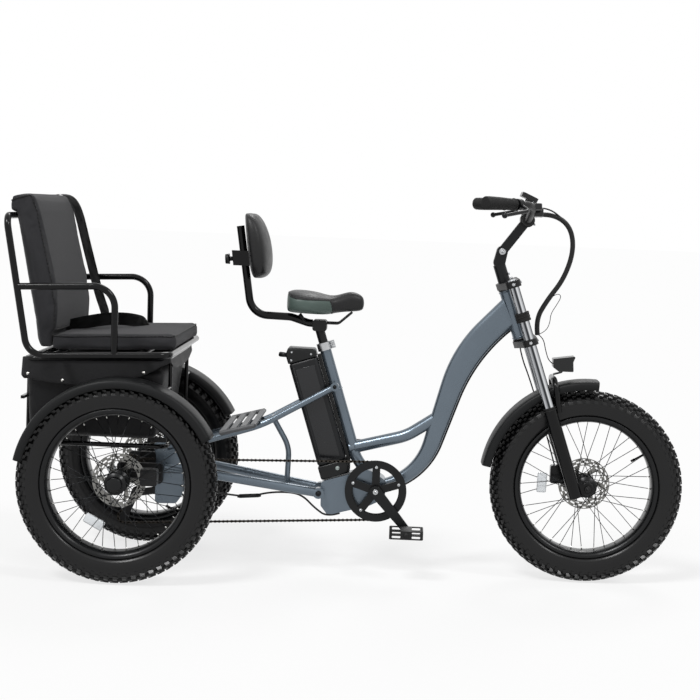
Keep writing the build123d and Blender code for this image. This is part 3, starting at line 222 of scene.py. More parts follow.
for body, tyre_node, wheel_node, rotor_node, station, middle, rotor_side, hub_in, hub_out, clip_angle in WHEELS:
    centre = Vector((REAR_AXLE_X + station, middle, TYRE_R))

    rim = bmesh.new()
    spun_ring(rim, centre, ((RIM_IN_R, -0.024), (RIM_IN_R - 0.0006, -0.012), (RIM_IN_R - 0.0006, 0.012),
                            (RIM_IN_R, 0.024), (RIM_IN_R + 0.0035, 0.031), (RIM_IN_R + 0.010, RIM_HALF_W - 0.001),
                            (RIM_R + 0.004, RIM_HALF_W), (RIM_R + 0.005, RIM_HALF_W - 0.002),
                            (RIM_R, RIM_HALF_W - 0.004), (RIM_R, 0.004 - RIM_HALF_W),
                            (RIM_R + 0.005, 0.002 - RIM_HALF_W), (RIM_R + 0.004, -RIM_HALF_W),
                            (RIM_IN_R + 0.010, 0.001 - RIM_HALF_W), (RIM_IN_R + 0.0035, -0.031)), 120)
    bmesh.ops.recalc_face_normals(rim, faces=rim.faces)
    rim_piece = piece(rim, wheel_node.replace("wheel", "rim"), black_anodised)
    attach(rim_piece, body)
    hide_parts(wheel_node)

    hub = bmesh.new()
    ends = sorted((rotor_side * hub_in, rotor_side * hub_out))
    bore = 0.0067 if body == "front_wheel" else 0.0092
    flange = ((FLANGE_R - 0.001, -FLANGE_AT - 0.0018), (FLANGE_R, -FLANGE_AT), (FLANGE_R - 0.001, 0.0018 - FLANGE_AT),
              (HUB_R + 0.001, 0.005 - FLANGE_AT), (HUB_R - 0.0025, -0.012))
    spun_ring(hub, centre, ((bore, ends[0]), (0.013, ends[0]), (0.0145, ends[0] + 0.0015), (0.0145, ends[0] + 0.008),
                            (HUB_R, ends[0] + 0.010), (HUB_R, -FLANGE_AT - 0.003), *flange,
                            *[(r, -y) for r, y in reversed(flange)], (HUB_R, FLANGE_AT + 0.003),
                            (HUB_R, ends[1] - 0.010), (0.0145, ends[1] - 0.008), (0.0145, ends[1] - 0.0015),
                            (0.013, ends[1]), (bore, ends[1])), 48)
    bmesh.ops.recalc_face_normals(hub, faces=hub.faces)
    cap_side = -rotor_side
    cap_at = centre + Vector((0, -rotor_side * abs(hub_out), 0))
    outward = Vector((0, cap_side, 0))
    rod(hub, cap_at - outward * 0.010, cap_at + outward * 0.001, 0.0225, sides=36)
    rod(hub, cap_at + outward * 0.001, cap_at + outward * 0.0035, 0.0225, 0.0190, sides=36)
    hub_piece = piece(hub, wheel_node.replace("wheel", "hub"), black_anodised)
    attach(hub_piece, body)

    spokes, nipples = bmesh.new(), bmesh.new()
    for number in range(SPOKES):
        flange_side = 1 if number % 2 else -1
        lead = radians(60 if number % 4 < 2 else -60)
        rim_angle = 2 * pi * number / SPOKES
        inner = centre + Vector(((FLANGE_R - 0.003) * cos(rim_angle + lead), flange_side * FLANGE_AT,
                                 (FLANGE_R - 0.003) * sin(rim_angle + lead)))
        outer = centre + Vector(((RIM_IN_R + 0.002) * cos(rim_angle), flange_side * 0.009,
                                 (RIM_IN_R + 0.002) * sin(rim_angle)))
        rod(spokes, inner, outer, 0.00115, sides=6)
        rod(nipples, outer.lerp(inner, 0.012), outer.lerp(inner, 0.062), 0.0019, 0.0014, sides=8)
    spoke_set = piece(spokes, wheel_node.replace("wheel", "spokes"), black_steel)
    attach(spoke_set, body)
    nipple_set = piece(nipples, wheel_node.replace("wheel", "nipples"), nickel)
    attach(nipple_set, body)

    clip = bmesh.new()
    clip_place = (Matrix.Translation(centre) @ Matrix.Rotation(-radians(clip_angle), 4, "Y")
                  @ Matrix.Translation((0.135, 0, 0)))
    bmesh.ops.create_cube(clip, size=1, matrix=clip_place @ Matrix.Diagonal((0.030, 0.014, 0.062, 1)))
    bmesh.ops.bevel(clip, geom=list(clip.edges), offset=0.005, segments=3, profile=0.5, affect="EDGES", material=-1)
    clip_piece = piece(clip, wheel_node.replace("wheel", "reflector"), reflector_clear)
    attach(clip_piece, body)

    valve = bmesh.new()
    valve_angle = radians(31 if body == "front_wheel" else clip_angle + 95)
    valve_way = Vector((cos(valve_angle), 0, sin(valve_angle)))
    rod(valve, centre + valve_way * 0.2025, centre + valve_way * 0.172, 0.0032, sides=12)
    rod(valve, centre + valve_way * 0.172, centre + valve_way * 0.160, 0.0042, 0.0038, sides=12)
    valve_piece = piece(valve, wheel_node.replace("wheel", "valve"), gloss_black)
    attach(valve_piece, body)


# Fat tyres of black carbon-filled rubber, moulded with a round casing, five staggered rows of small
# knobs each side of the middle, and bare sides with two fine moulded rings.
tyre_rubber, tree, shader = start_material("moulded_tyre_rubber", "#050506", 0.34, Specular_IOR_Level=0.2,
                                           Coat_Weight=0.25, Coat_Roughness=0.22)
# Moulded rubber keeps a soft sheen; dusty bloom lightens it a little in patches.
vary(tree, shader, "#040405", "#080809", 22.0, 0.28, 0.4, 0.0002, 500.0)
CASING_R = 0.2895
PITCHES = 64
# knob rows: distance from the middle plane, seat radius, size out, across and along, lean, half steps
KNOB_ROWS = ((0.0078, 0.2922, (0.0100, 0.0105, 0.0165), 0.08, 0),
             (0.0215, 0.2896, (0.0105, 0.0110, 0.0150), 0.22, 1),
             (0.0335, 0.2838, (0.0110, 0.0105, 0.0150), 0.42, 0),
             (0.0425, 0.2768, (0.0120, 0.0095, 0.0170), 0.66, 1),
             (0.0468, 0.2690, (0.0120, 0.0060, 0.0130), 0.16, 0))


def knob(bm, centre, angle, width_at, sit_r, size, twist=0.0, lean_angle=0.0):
    """One tread block: a cube narrower at its top, seated on the casing."""
    place = (Matrix.Translation(centre) @ Matrix.Rotation(-angle, 4, "Y") @ Matrix.Translation((0, width_at, 0))
             @ Matrix.Translation((sit_r, 0, 0)) @ Matrix.Rotation(lean_angle, 4, "Z") @ Matrix.Rotation(twist, 4, "X"))
    cube = bmesh.ops.create_cube(bm, size=1, matrix=place @ Matrix.Diagonal((size[0], size[1], size[2], 1)))
    top = [v for v in cube["verts"] if (place.inverted() @ v.co).x > 0]
    middle = sum((v.co for v in top), Vector()) / len(top)
    for vert in top:
        vert.co = middle + (vert.co - middle) * 0.76


for body, tyre_node, wheel_node, rotor_node, station, middle, rotor_side, hub_in, hub_out, clip_angle in WHEELS:
    centre = Vector((REAR_AXLE_X + station, middle, TYRE_R))
    casing = bmesh.new()
    half = ((0.2162, 0.0362), (0.2222, 0.0385), (0.2226, 0.0402), (0.2275, 0.0440), (0.2300, 0.0451),
            (0.2312, 0.0458), (0.2326, 0.0458), (0.2338, 0.0463), (0.2430, 0.0483), (0.2520, 0.0489),
            (0.2600, 0.0486), (0.2612, 0.0488), (0.2624, 0.0482), (0.2700, 0.0456), (0.2780, 0.0395),
            (0.2845, 0.0290), (0.2882, 0.0150))
    profile = [(r, -y) for r, y in half] + [(CASING_R, 0.0)] + [(r, y) for r, y in reversed(half)]
    spun_ring(casing, centre, profile, 144)
    bmesh.ops.recalc_face_normals(casing, faces=casing.faces)
    knobs = bmesh.new()
    step = 2 * pi / PITCHES
    for pitch in range(PITCHES):
        for side in (-1, 1):
            for across, sit_r, size, lean_angle, half_steps in KNOB_ROWS:
                angle = (pitch + half_steps / 2 + side / 8) * step
                knob(knobs, centre, angle, side * across, sit_r, size, side * 0.16, side * lean_angle)
    tyre_piece = piece(casing, tyre_node.replace("tyre", "casing"), tyre_rubber)
    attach(tyre_piece, body)
    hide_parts(tyre_node)
    tread_piece = piece(knobs, tyre_node.replace("tyre", "tread"), tyre_rubber, smooth=False)
    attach(tread_piece, body)


# Stainless disc rotors, laser cut into spokes and rows of slots and ground, bolted to the hubs. The
# calipers are black forged alloy bodies on the fork leg and the axle brackets, painted satin black.
ground_steel, tree, shader = start_material("ground_stainless_steel", "#7b7b79", 0.26, 1.0)
vary(tree, shader, "#5f5f5d", "#999894", 60.0, 0.18, 0.36, 0.00003, 900.0)
SECTORS = 96
# inner radius of each ring of cells, and the cells left open out of a run of six or sixteen
ROTOR_RINGS = ((0.0193, 6, ()), (0.034, 16, range(5, 16)), (0.040, 16, range(5, 16)), (0.046, 16, range(5, 16)),
               (0.052, 16, range(5, 16)), (0.057, 6, ()), (0.0600, 6, (0, 1, 2)), (0.0645, 6, ()),
               (0.0665, 6, (3, 4, 5)), (0.0710, 6, ()), (0.0730, 6, (0, 1)), (0.0770, 6, ()))
ROTOR_R, ROTOR_THICK = 0.080, 0.002
for body, tyre_node, wheel_node, rotor_node, station, middle, rotor_side, hub_in, hub_out, clip_angle in WHEELS:
    centre = Vector((REAR_AXLE_X + station, middle + rotor_side * 0.044 - 0.001, TYRE_R))
    disc = bmesh.new()
    rings = []
    for radius in [inner for inner, run, gaps in ROTOR_RINGS] + [ROTOR_R]:
        turns = [2 * pi * n / SECTORS for n in range(SECTORS)]
        rings.append([disc.verts.new(centre + Vector((radius * cos(turn), 0, radius * sin(turn)))) for turn in turns])
    for level, (inner, run, gaps) in enumerate(ROTOR_RINGS):
        for n in range(SECTORS):
            if (n + level * (run == 16)) % run in gaps:
                continue
            after = (n + 1) % SECTORS
            disc.faces.new((rings[level][n], rings[level][after], rings[level + 1][after], rings[level + 1][n]))
    bmesh.ops.delete(disc, geom=[vert for vert in disc.verts if not vert.link_faces], context="VERTS")
    bmesh.ops.solidify(disc, geom=list(disc.faces), thickness=-ROTOR_THICK)
    bmesh.ops.recalc_face_normals(disc, faces=disc.faces)
    disc_piece = piece(disc, rotor_node.replace("rotor", "disc"), ground_steel, smooth=False)
    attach(disc_piece, body)
    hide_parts(rotor_node)

satin_black, tree, shader = start_material("satin_black_powder_coat", "#0a0a0b", 0.4, Specular_IOR_Level=0.3)
vary(tree, shader, "#080809", "#0f0f10", 18.0, 0.34, 0.46, 0.0001, 400.0)
dress("rear_axle", satin_black)


# The battery is an extruded black aluminium case with moulded caps that slides on a rail behind
# the seat tube. Its side has a sunk panel, the top cap has three small screws and a lock knob, and
# a small round cover stands low on the side.
case_black, tree, shader = start_material("anodised_battery_case", "#0d0e10", 0.36, 0.2, Specular_IOR_Level=0.35)
vary(tree, shader, "#0b0c0e", "#121316", 16.0, 0.3, 0.44, 0.00004, 700.0)
cap_plastic, tree, shader = start_material("moulded_black_abs", "#0a0b0c", 0.34, Specular_IOR_Level=0.3)
vary(tree, shader, "#08090a", "#0f1011", 26.0, 0.28, 0.42, 0.0001, 900.0)
panel_plastic, tree, shader = start_material("smooth_black_panel", "#101113", 0.22, Specular_IOR_Level=0.45)
vary(tree, shader, "#0e0f11", "#15161a", 14.0, 0.18, 0.3)
pale_plastic, tree, shader = start_material("pale_moulded_plastic", "#b9c6c2", 0.4)
vary(tree, shader, "#b2bfbb", "#c4cfcc", 90.0, 0.34, 0.48)

POST_LEAN = radians(18)
seat_up = Vector((-sin(POST_LEAN), 0, cos(POST_LEAN)))
seat_ahead = Vector((cos(POST_LEAN), 0, sin(POST_LEAN)))
seat_top = spot(581.5, 0, 700)


def on_post(ahead, left, up):
    """A point in mm from the top of the seat tube, along and across the leaning post."""
    return seat_top + seat_ahead * (ahead / 1000) + Vector((0, left / 1000, 0)) + seat_up * (up / 1000)


def slab(bm, corners, half_width, offset, place, segments=3, middle=0.0):
    """A rounded block: an outline of (ahead, up) corners, given width about the middle plane."""
    face = bm.faces.new([bm.verts.new(place(a, middle - half_width, u)) for a, u in corners])
    made = bmesh.ops.extrude_face_region(bm, geom=[face])
    verts = [item for item in made["geom"] if isinstance(item, bmesh.types.BMVert)]
    bmesh.ops.translate(bm, verts=verts, vec=(0, 2 * half_width / 1000, 0))
    faces = [face] + [item for item in made["geom"] if isinstance(item, bmesh.types.BMFace)]
    around = {f for v in verts for f in v.link_faces} | set(faces)
    bmesh.ops.recalc_face_normals(bm, faces=list(around))
    edges = {edge for f in around for edge in f.edges}
    if offset:
        bmesh.ops.bevel(bm, geom=list(edges), offset=offset / 1000, segments=segments, profile=0.5,
                        affect="EDGES", material=-1)


pack_case = bmesh.new()
slab(pack_case, ((-119.4, -356), (-29.4, -356), (-29.4, -22), (-119.4, -22)), 40.5, 11, on_post, 4)
battery_case = piece(pack_case, "battery_case", case_black)
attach(battery_case, "chassis")
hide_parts("battery")

caps = bmesh.new()
slab(caps, ((-120.8, -397.6), (-28.4, -397.6), (-28.4, -354), (-120.8, -354)), 41.8, 6, on_post)
slab(caps, ((-120.8, -24), (-28.4, -24), (-28.4, -0.4), (-107, 26.6), (-120.8, 7.6)), 41.8, 5, on_post)
cap_set = piece(caps, "battery_caps", cap_plastic)
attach(cap_set, "chassis")

panels = bmesh.new()
for side in (-1, 1):
    slab(panels, ((-104, -340), (-44, -340), (-44, -46), (-104, -46)), 0.9, 0.6, on_post, 2, side * 40.7)
    slab(panels, ((-109, -344), (-107, -344), (-107, -36), (-109, -36)), 0.7, 0.3, on_post, 1, side * 40.9)
side_panels = piece(panels, "battery_side_panels", panel_plastic)
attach(side_panels, "chassis")

zinc_screw, tree, shader = start_material("zinc_plated_screw", "#b4b6b8", 0.28, 1.0)
vary(tree, shader, "#a6a8aa", "#c6c8ca", 120.0, 0.2, 0.38)


def socket_screw(bm, at, way, radius, height=None):
    """A cap screw with a hexagon socket, its head standing out along a direction."""
    tall = height or radius
    out = way.normalized()
    rod(bm, at, at + out * tall * 0.85, radius, sides=18)
    rod(bm, at + out * tall * 0.85, at + out * tall, radius, radius * 0.86, sides=18)
    rod(bm, at + out * tall * 1.001, at + out * tall * 0.5, radius * 0.5, sides=6)


screws = bmesh.new()
for side in (-1, 1):
    for a, u in ((-44, -12), (-100, 10), (-108, -14)):
        socket_screw(screws, on_post(a, side * 41.4, u), Vector((0, side, 0)), 0.0032, 0.0016)
case_screws = piece(screws, "battery_screws", zinc_screw)
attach(case_screws, "chassis")

lock = bmesh.new()
rod(lock, on_post(-114, -12, 2), on_post(-138, -12, 12), 0.007, 0.008, sides=24)
rod(lock, on_post(-138, -12, 12), on_post(-142, -12, 14), 0.008, 0.005, sides=24)
lock_knob = piece(lock, "battery_lock_knob", cap_plastic)
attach(lock_knob, "chassis")

cover = bmesh.new()
for side in (-1, 1):
    rod(cover, on_post(-62, side * 41.3, -374), on_post(-62, side * 43.0, -374), 0.0065, 0.0058, sides=28)
port_cover = piece(cover, "battery_port_cover", pale_plastic)
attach(port_cover, "chassis")
dress("battery_rail", cap_plastic)

alloy, tree, shader = start_material("turned_aluminium", "#b9babc", 0.3, 1.0)
# Turned alloy has fine rings that spread the highlight, and dull grey patches.
vary(tree, shader, "#a9aaac", "#cacbcd", 50.0, 0.24, 0.4, 0.00004, 1100.0)
dress("seat_clamp", alloy)
clamp = bmesh.new()
for level in (-8, 4):
    rod(clamp, on_post(26, -11, level), on_post(26, 11, level), 0.0032, sides=14)
    socket_screw(clamp, on_post(26, -9, level), Vector((0, -1, 0)), 0.0048, 0.004)
clamp_bolts = piece(clamp, "seat_clamp_bolts", zinc_screw)
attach(clamp_bolts, "chassis")

# Pivot bolts hold the rear frame to the housing and the seat tube, and four bolts each axle block.
pivots = bmesh.new()
for side in (-1, 1):
    socket_screw(pivots, spot(583, side * 68.2, 248), Vector((0, side, 0)), 0.009, 0.004)
    socket_screw(pivots, spot(620.8, side * 66.2, 579), Vector((0, side, 0)), 0.006, 0.004)
    for x, z in ((-18, 318), (-18, 277), (94, 318), (94, 277)):
        socket_screw(pivots, spot(x, side * 130.2, z), Vector((0, side, 0)), 0.0062, 0.0045)
pivot_bolts = piece(pivots, "frame_bolts", black_steel)
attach(pivot_bolts, "chassis")


# Forged black alloy cranks and chainring with a guard ring on five arms; moulded nylon pedals with
# open sides and rows of grip pins. The roller chain is oiled steel, one closed loop over the ring,
# the rear cog and the two tension pulleys.
satin_alloy, tree, shader = start_material("satin_black_forged_alloy", "#0c0d0e", 0.32, 0.3, Specular_IOR_Level=0.35)
vary(tree, shader, "#0a0b0c", "#131416", 34.0, 0.28, 0.42, 0.00005, 800.0)
chain_steel, tree, shader = start_material("oiled_chain_steel", "#3b3835", 0.36, 0.8)
vary(tree, shader, "#2c2a28", "#565049", 80.0, 0.3, 0.5)
pedal_resin, tree, shader = start_material("glass_filled_nylon", "#0d0d0e", 0.46, Specular_IOR_Level=0.3)
vary(tree, shader, "#0a0a0b", "#131314", 60.0, 0.42, 0.56, 0.00015, 600.0)
dress("chainring", satin_alloy)
dress("crank_arms", satin_alloy)
CRANK = spot(759, 0, 263)
CHAIN_Y = -62.0

ring = bmesh.new()
for arm in range(5):
    angle = 2 * pi * arm / 5 + radians(18)
    at = CRANK + Vector((0.074 * cos(angle), (CHAIN_Y - 9.4) / 1000, 0.074 * sin(angle)))
    socket_screw(ring, at, Vector((0, -1, 0)), 0.0048, 0.0022)
for side in (-1, 1):
    socket_screw(ring, CRANK + Vector((0, side * 0.0878, 0)), Vector((0, side, 0)), 0.0085, 0.0036)
ring_bolts = piece(ring, "chainring_bolts", zinc_screw)
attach(ring_bolts, "crank")

# sprocket middle in mm, wrap radius in mm, side on which the chain passes (1 is anticlockwise)
RUNS = (((759, 263), 90.0, 1), ((0, 297.5), 33.0, 1), ((20, 231), 19.0, -1), ((-16, 149), 19.0, 1))


def tangent(first, second):
    """Where the straight chain run between two sprockets leaves the first and meets the second."""
    (ax, az), ar, aside = first
    (bx, bz), br, bside = second
    dx, dz = bx - ax, bz - az
    span = sqrt(dx * dx + dz * dz)
    ux, uz = dx / span, dz / span
    s = (ar * aside - br * bside) / span
    c = sqrt(1 - s * s)
    nx, nz = uz * c + ux * s, -ux * c + uz * s
    return (ax + nx * ar * aside, az + nz * ar * aside), (bx + nx * br * bside, bz + nz * br * bside)


legs = [tangent(RUNS[n], RUNS[(n + 1) % len(RUNS)]) for n in range(len(RUNS))]
PITCH = 12.7
route = []
for number, ((mx, mz), wrap, turn) in enumerate(RUNS):
    start, end = legs[number - 1][1], legs[number][0]
    a0, a1 = atan2(start[1] - mz, start[0] - mx), atan2(end[1] - mz, end[0] - mx)
    sweep = (a1 - a0) % (2 * pi) if turn > 0 else -((a0 - a1) % (2 * pi))
    for step in range(33):
        angle = a0 + sweep * step / 32
        route.append((mx + wrap * cos(angle), mz + wrap * sin(angle)))
route.append(route[0])
lengths = [sqrt((b[0] - a[0]) ** 2 + (b[1] - a[1]) ** 2) for a, b in zip(route, route[1:])]
links = round(sum(lengths) / PITCH / 2) * 2
pitch = sum(lengths) / links
pins, walked, leg = [], 0.0, 0
for number in range(links):
    goal = number * pitch
    while walked + lengths[leg] < goal:
        walked += lengths[leg]
        leg += 1
    share = (goal - walked) / lengths[leg]
    a, b = route[leg], route[leg + 1]
    pins.append(spot(a[0] + (b[0] - a[0]) * share, CHAIN_Y, a[1] + (b[1] - a[1]) * share))
chain_mesh = bmesh.new()
for number, pin in enumerate(pins):
    ahead_pin = pins[(number + 1) % links]
    wide = 0.0031 if number % 2 else 0.0019
    rod(chain_mesh, pin - Vector((0, 0.0035, 0)), pin + Vector((0, 0.0035, 0)), 0.0030, sides=8)
    way = ahead_pin - pin
    for side in (-1, 1):
        middle_link = (pin + ahead_pin) / 2 + Vector((0, side * wide, 0))
        place = aim(middle_link, Vector((0, 1, 0)), way.normalized())
        for end in (pin, ahead_pin):
            rod(chain_mesh, end + Vector((0, side * wide - 0.0004, 0)), end + Vector((0, side * wide + 0.0004, 0)),
                0.0041, sides=8)
        x_way = way.normalized()
        z_way = x_way.cross(Vector((0, 1, 0)))
        turned = Matrix(((x_way.x, 0, z_way.x, middle_link.x), (x_way.y, 1, z_way.y, middle_link.y),
                         (x_way.z, 0, z_way.z, middle_link.z), (0, 0, 0, 1)))
        bmesh.ops.create_cube(chain_mesh, size=1, matrix=turned @ Matrix.Diagonal((way.length, 0.0008, 0.0052, 1)))
chain_loop = piece(chain_mesh, "chain_links", chain_steel, smooth=False)
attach(chain_loop, "chassis")
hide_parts("chain")

dress("derailleur", satin_black)
dress("cog_stack", chain_steel)
CRANK_REACH, CRANK_DROP = 0.150, radians(49)
for side, name in ((-1, "right"), (1, "left")):
    axle_end = CRANK + Vector((-side * CRANK_REACH * cos(CRANK_DROP), side * 0.138,
                               side * CRANK_REACH * sin(CRANK_DROP)))
    dress(f"pedal_{name}", pedal_resin)
    pins = bmesh.new()
    for row in range(8):
        for end in (-1, 1):
            for level in (-1, 1):
                at = axle_end + Vector((end * 0.0470, -0.035 + row * 0.01, level * 0.0129))
                rod(pins, at, at + Vector((0, 0, level * 0.0016)), 0.0024, 0.0013, sides=6)
    rod(pins, axle_end + Vector((0, side * 0.0435, 0)), axle_end + Vector((0, side * 0.0455, 0)), 0.0085, 0.0075,
        sides=24)
    pin_set = piece(pins, f"pedal_pins_{name}", pedal_resin)
    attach(pin_set, f"pedal_{name}")


# A wide foam saddle on steel rails, covered in synthetic leather: black on top and nose, with a
# sage green panel round the rear side. The backrest is a thick padded shell on a bent tube, held by
# a height clamp with a knob.
leathers = []
for name, colour, roughness, dark, pale, rough_low, rough_high in (
        ("grained_synthetic_leather", "#0f0f10", 0.42, "#0d0d0e", "#141415", 0.36, 0.5),
        ("sage_synthetic_leather", "#4c5a55", 0.46, "#46544f", "#53615c", 0.4, 0.54)):
    leather, tree, shader = start_material(name, colour, roughness, Specular_IOR_Level=0.35)
    leather_at = vary(tree, shader, dark, pale, 30.0, rough_low, rough_high)
    # The grain is drawn 1.6 mm across, a little coarser than real, so that it shows.
    pores = add_node(tree, "ShaderNodeTexVoronoi", (("Scale", 620.0), ("feature", "DISTANCE_TO_EDGE")),
                     (("Vector", leather_at, "Object"),))
    grain = add_node(tree, "ShaderNodeBump", (("Strength", 0.35), ("Distance", 0.0004)),
                     (("Height", pores, "Distance"),))
    tree.links.new(grain.outputs["Normal"], shader.inputs["Normal"])
    leathers.append(leather)
rider_vinyl, sage_vinyl = leathers
dress("seat_post", satin_black)
dress("backrest_tube", gloss_black)

# x, half width, under side, crown, edge height (mm)
SADDLE_STATIONS = ((463, 42, 808, 858, 832), (468, 80, 802, 866, 834), (485, 103, 800, 870, 834),
                   (512, 111, 799, 870, 832), (542, 106, 798, 867, 830), (568, 88, 797, 862, 828),
                   (592, 66, 798, 856, 828), (612, 50, 803, 857, 830), (636, 38, 807, 865, 836),
                   (660, 31, 809, 872, 842), (684, 25, 811, 865, 842), (700, 17, 817, 852, 838))


def skin_rings(bm, rings):
    """Skins a row of vertex rings and closes both ends."""
    for first, second in zip(rings, rings[1:]):
        edges = [e for ring_verts in (first, second) for e in {edge for v in ring_verts for edge in v.link_edges}
                 if all(v in ring_verts for v in e.verts)]
        bmesh.ops.bridge_loops(bm, edges=edges)
    for end in (rings[0], rings[-1]):
        bmesh.ops.contextual_create(bm, geom=end)
    bmesh.ops.recalc_face_normals(bm, faces=bm.faces)


def round_off(made, levels):
    """A live subdivision surface that rounds a piece."""
    rounding = made.modifiers.new("round", "SUBSURF")
    rounding.levels = rounding.render_levels = levels


saddle_mesh = bmesh.new()
RING = 28
rings = []
for x, half, low, high, edge_z in SADDLE_STATIONS:
    circle = bmesh.ops.create_circle(saddle_mesh, segments=RING, radius=1.0,
                                     matrix=Matrix.Translation(spot(x, 0, edge_z)) @ Matrix.Rotation(pi / 2, 4, "Y"))
    for vert in circle["verts"]:
        offset = vert.co - spot(x, 0, edge_z)
        side_share, up_share = offset.y, offset.z
        squared = (abs(side_share) ** 0.75) * (1 if side_share > 0 else -1)
        tall = (high - edge_z) if up_share > 0 else (edge_z - low)
        rise = (abs(up_share) ** (0.9 if up_share > 0 else 0.55)) * (1 if up_share > 0 else -1)
        vert.co = spot(x, squared * half, edge_z + rise * tall)
    rings.append(circle["verts"])
skin_rings(saddle_mesh, rings)
saddle_piece = piece(saddle_mesh, "saddle_cover", rider_vinyl, sage_vinyl)
round_off(saddle_piece, 3)
rounded = bpy.data.meshes.new_from_object(saddle_piece.evaluated_get(bpy.context.evaluated_depsgraph_get()))
saddle_piece.modifiers.clear()
saddle_piece.data = rounded
# The sage panel ends in a curve at its front (mm) and where the side rolls over into the top.
PANEL_FRONT, PANEL_BOW, PANEL_MIDDLE_Z, PANEL_HALF_H = 604, 14, 815, 35
for polygon in rounded.polygons:
    forward, height = (polygon.center.x - REAR_AXLE_X) * 1000, polygon.center.z * 1000
    if polygon.normal.z < 0.6 and forward < PANEL_FRONT - PANEL_BOW * ((height - PANEL_MIDDLE_Z) / PANEL_HALF_H) ** 2:
        polygon.material_index = 1
# A fine cord is sewn along the edge between the two covers, above the saddle's lower rim.
cover_of_edge = {}
for polygon in rounded.polygons:
    for key in polygon.edge_keys:
        cover_of_edge.setdefault(key, set()).add(polygon.material_index)
edge_cord = bmesh.new()
for (first, second), covers in cover_of_edge.items():
    if len(covers) == 2 and rounded.vertices[first].co.z > 0.8:
        rod(edge_cord, rounded.vertices[first].co, rounded.vertices[second].co, 0.0015, sides=6)
saddle_seam = piece(edge_cord, "saddle_seam", rider_vinyl)
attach(saddle_seam, "rider_seat")
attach(saddle_piece, "rider_seat")
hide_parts("saddle")

# z, rear x, front x, half width of the pad (mm), from top to bottom
PAD_LEVELS = ((1100, 330, 350, 70), (1095, 327, 364, 98), (1072, 329, 382, 118), (1036, 333, 397, 127),
              (1000, 337, 406, 130), (968, 342, 410, 130), (940, 347, 410, 126), (920, 352, 406, 114),
              (907, 358, 396, 94), (902, 364, 384, 66))
pad_mesh = bmesh.new()
rings = []
for z, rear_x, front_x, half in PAD_LEVELS:
    middle_x = (rear_x + front_x) / 2
    circle = bmesh.ops.create_circle(pad_mesh, segments=32, radius=1.0,
                                     matrix=Matrix.Translation(spot(middle_x, 0, z)))
    for vert in circle["verts"]:
        offset = vert.co - spot(middle_x, 0, z)
        across = (abs(offset.y) ** 0.62) * (1 if offset.y > 0 else -1)
        deep = (abs(offset.x) ** 0.7) * (1 if offset.x > 0 else -1)
        curl = max(-10 * (across * across), -10)
        vert.co = spot(middle_x + deep * (front_x - rear_x) / 2 + curl * 0.35, across * half, z)
    rings.append(circle["verts"])
skin_rings(pad_mesh, rings)
back_pad = piece(pad_mesh, "backrest_cover", rider_vinyl)
round_off(back_pad, 2)
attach(back_pad, "rider_seat")
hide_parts("backrest_pad")

knob_mesh = bmesh.new()
rod(knob_mesh, spot(290, 0, 958), spot(276, 0, 957), 0.007, sides=16)
rod(knob_mesh, spot(279, 0, 957), spot(266, 0, 956), 0.017, 0.015, sides=10)
height_knob = piece(knob_mesh, "backrest_knob", cap_plastic)
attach(height_knob, "rider_seat")


# Two foam cushions in charcoal woven polyester with piped edges lie in a bent steel tube frame with
# two armrests, all powder coated gloss black. A shoulder strap and a padded lap belt of black
# webbing are bolted to the far side of the frame.
dress("passenger_frame", gloss_black)


def woven(name, colour, other, roughness, threads):
    """A plain-woven cloth: two sets of threads at right angles, with a little colour variation."""
    cloth, tree, shader = start_material(name, colour, roughness, Sheen_Weight=0.1, Sheen_Roughness=0.5,
                                         Specular_IOR_Level=0.25)
    place = add_node(tree, "ShaderNodeTexCoord")
    warp, weft, across = [add_node(tree, "ShaderNodeTexWave", (("Scale", threads), ("bands_direction", axis)),
                                   (("Vector", place, "Object"),)) for axis in "YZX"]
    pair = add_node(tree, "ShaderNodeMath", (("operation", "MULTIPLY"),), ((0, warp, "Fac"), (1, weft, "Fac")))
    cloth_height = add_node(tree, "ShaderNodeMath", (("operation", "ADD"),), ((0, pair, "Value"), (1, across, "Fac")))
    raised = add_node(tree, "ShaderNodeBump", (("Strength", 0.35), ("Distance", 0.0004)),
                      (("Height", cloth_height, "Value"),))
    tree.links.new(raised.outputs["Normal"], shader.inputs["Normal"])
    patches = add_node(tree, "ShaderNodeTexNoise", (("Scale", 14.0), ("Detail", 6.0)),
                       (("Vector", place, "Object"),))
    mix = add_node(tree, "ShaderNodeMix", (("data_type", "RGBA"),), (("Factor", patches, "Fac"),))
    mix.inputs[6].default_value = linear(colour)
    mix.inputs[7].default_value = linear(other)
    tree.links.new(mix.outputs[2], shader.inputs["Base Color"])
    return cloth


# The weave is drawn at 1.7 mm a thread, three times coarser than real, so that it shows.
seat_cloth = woven("charcoal_woven_polyester", "#29292b", "#323235", 0.82, 590.0)
dark_cloth = woven("black_coated_polyester", "#0e0e10", "#151517", 0.6, 590.0)
webbing = woven("black_nylon_webbing", "#0b0b0c", "#121213", 0.66, 420.0)


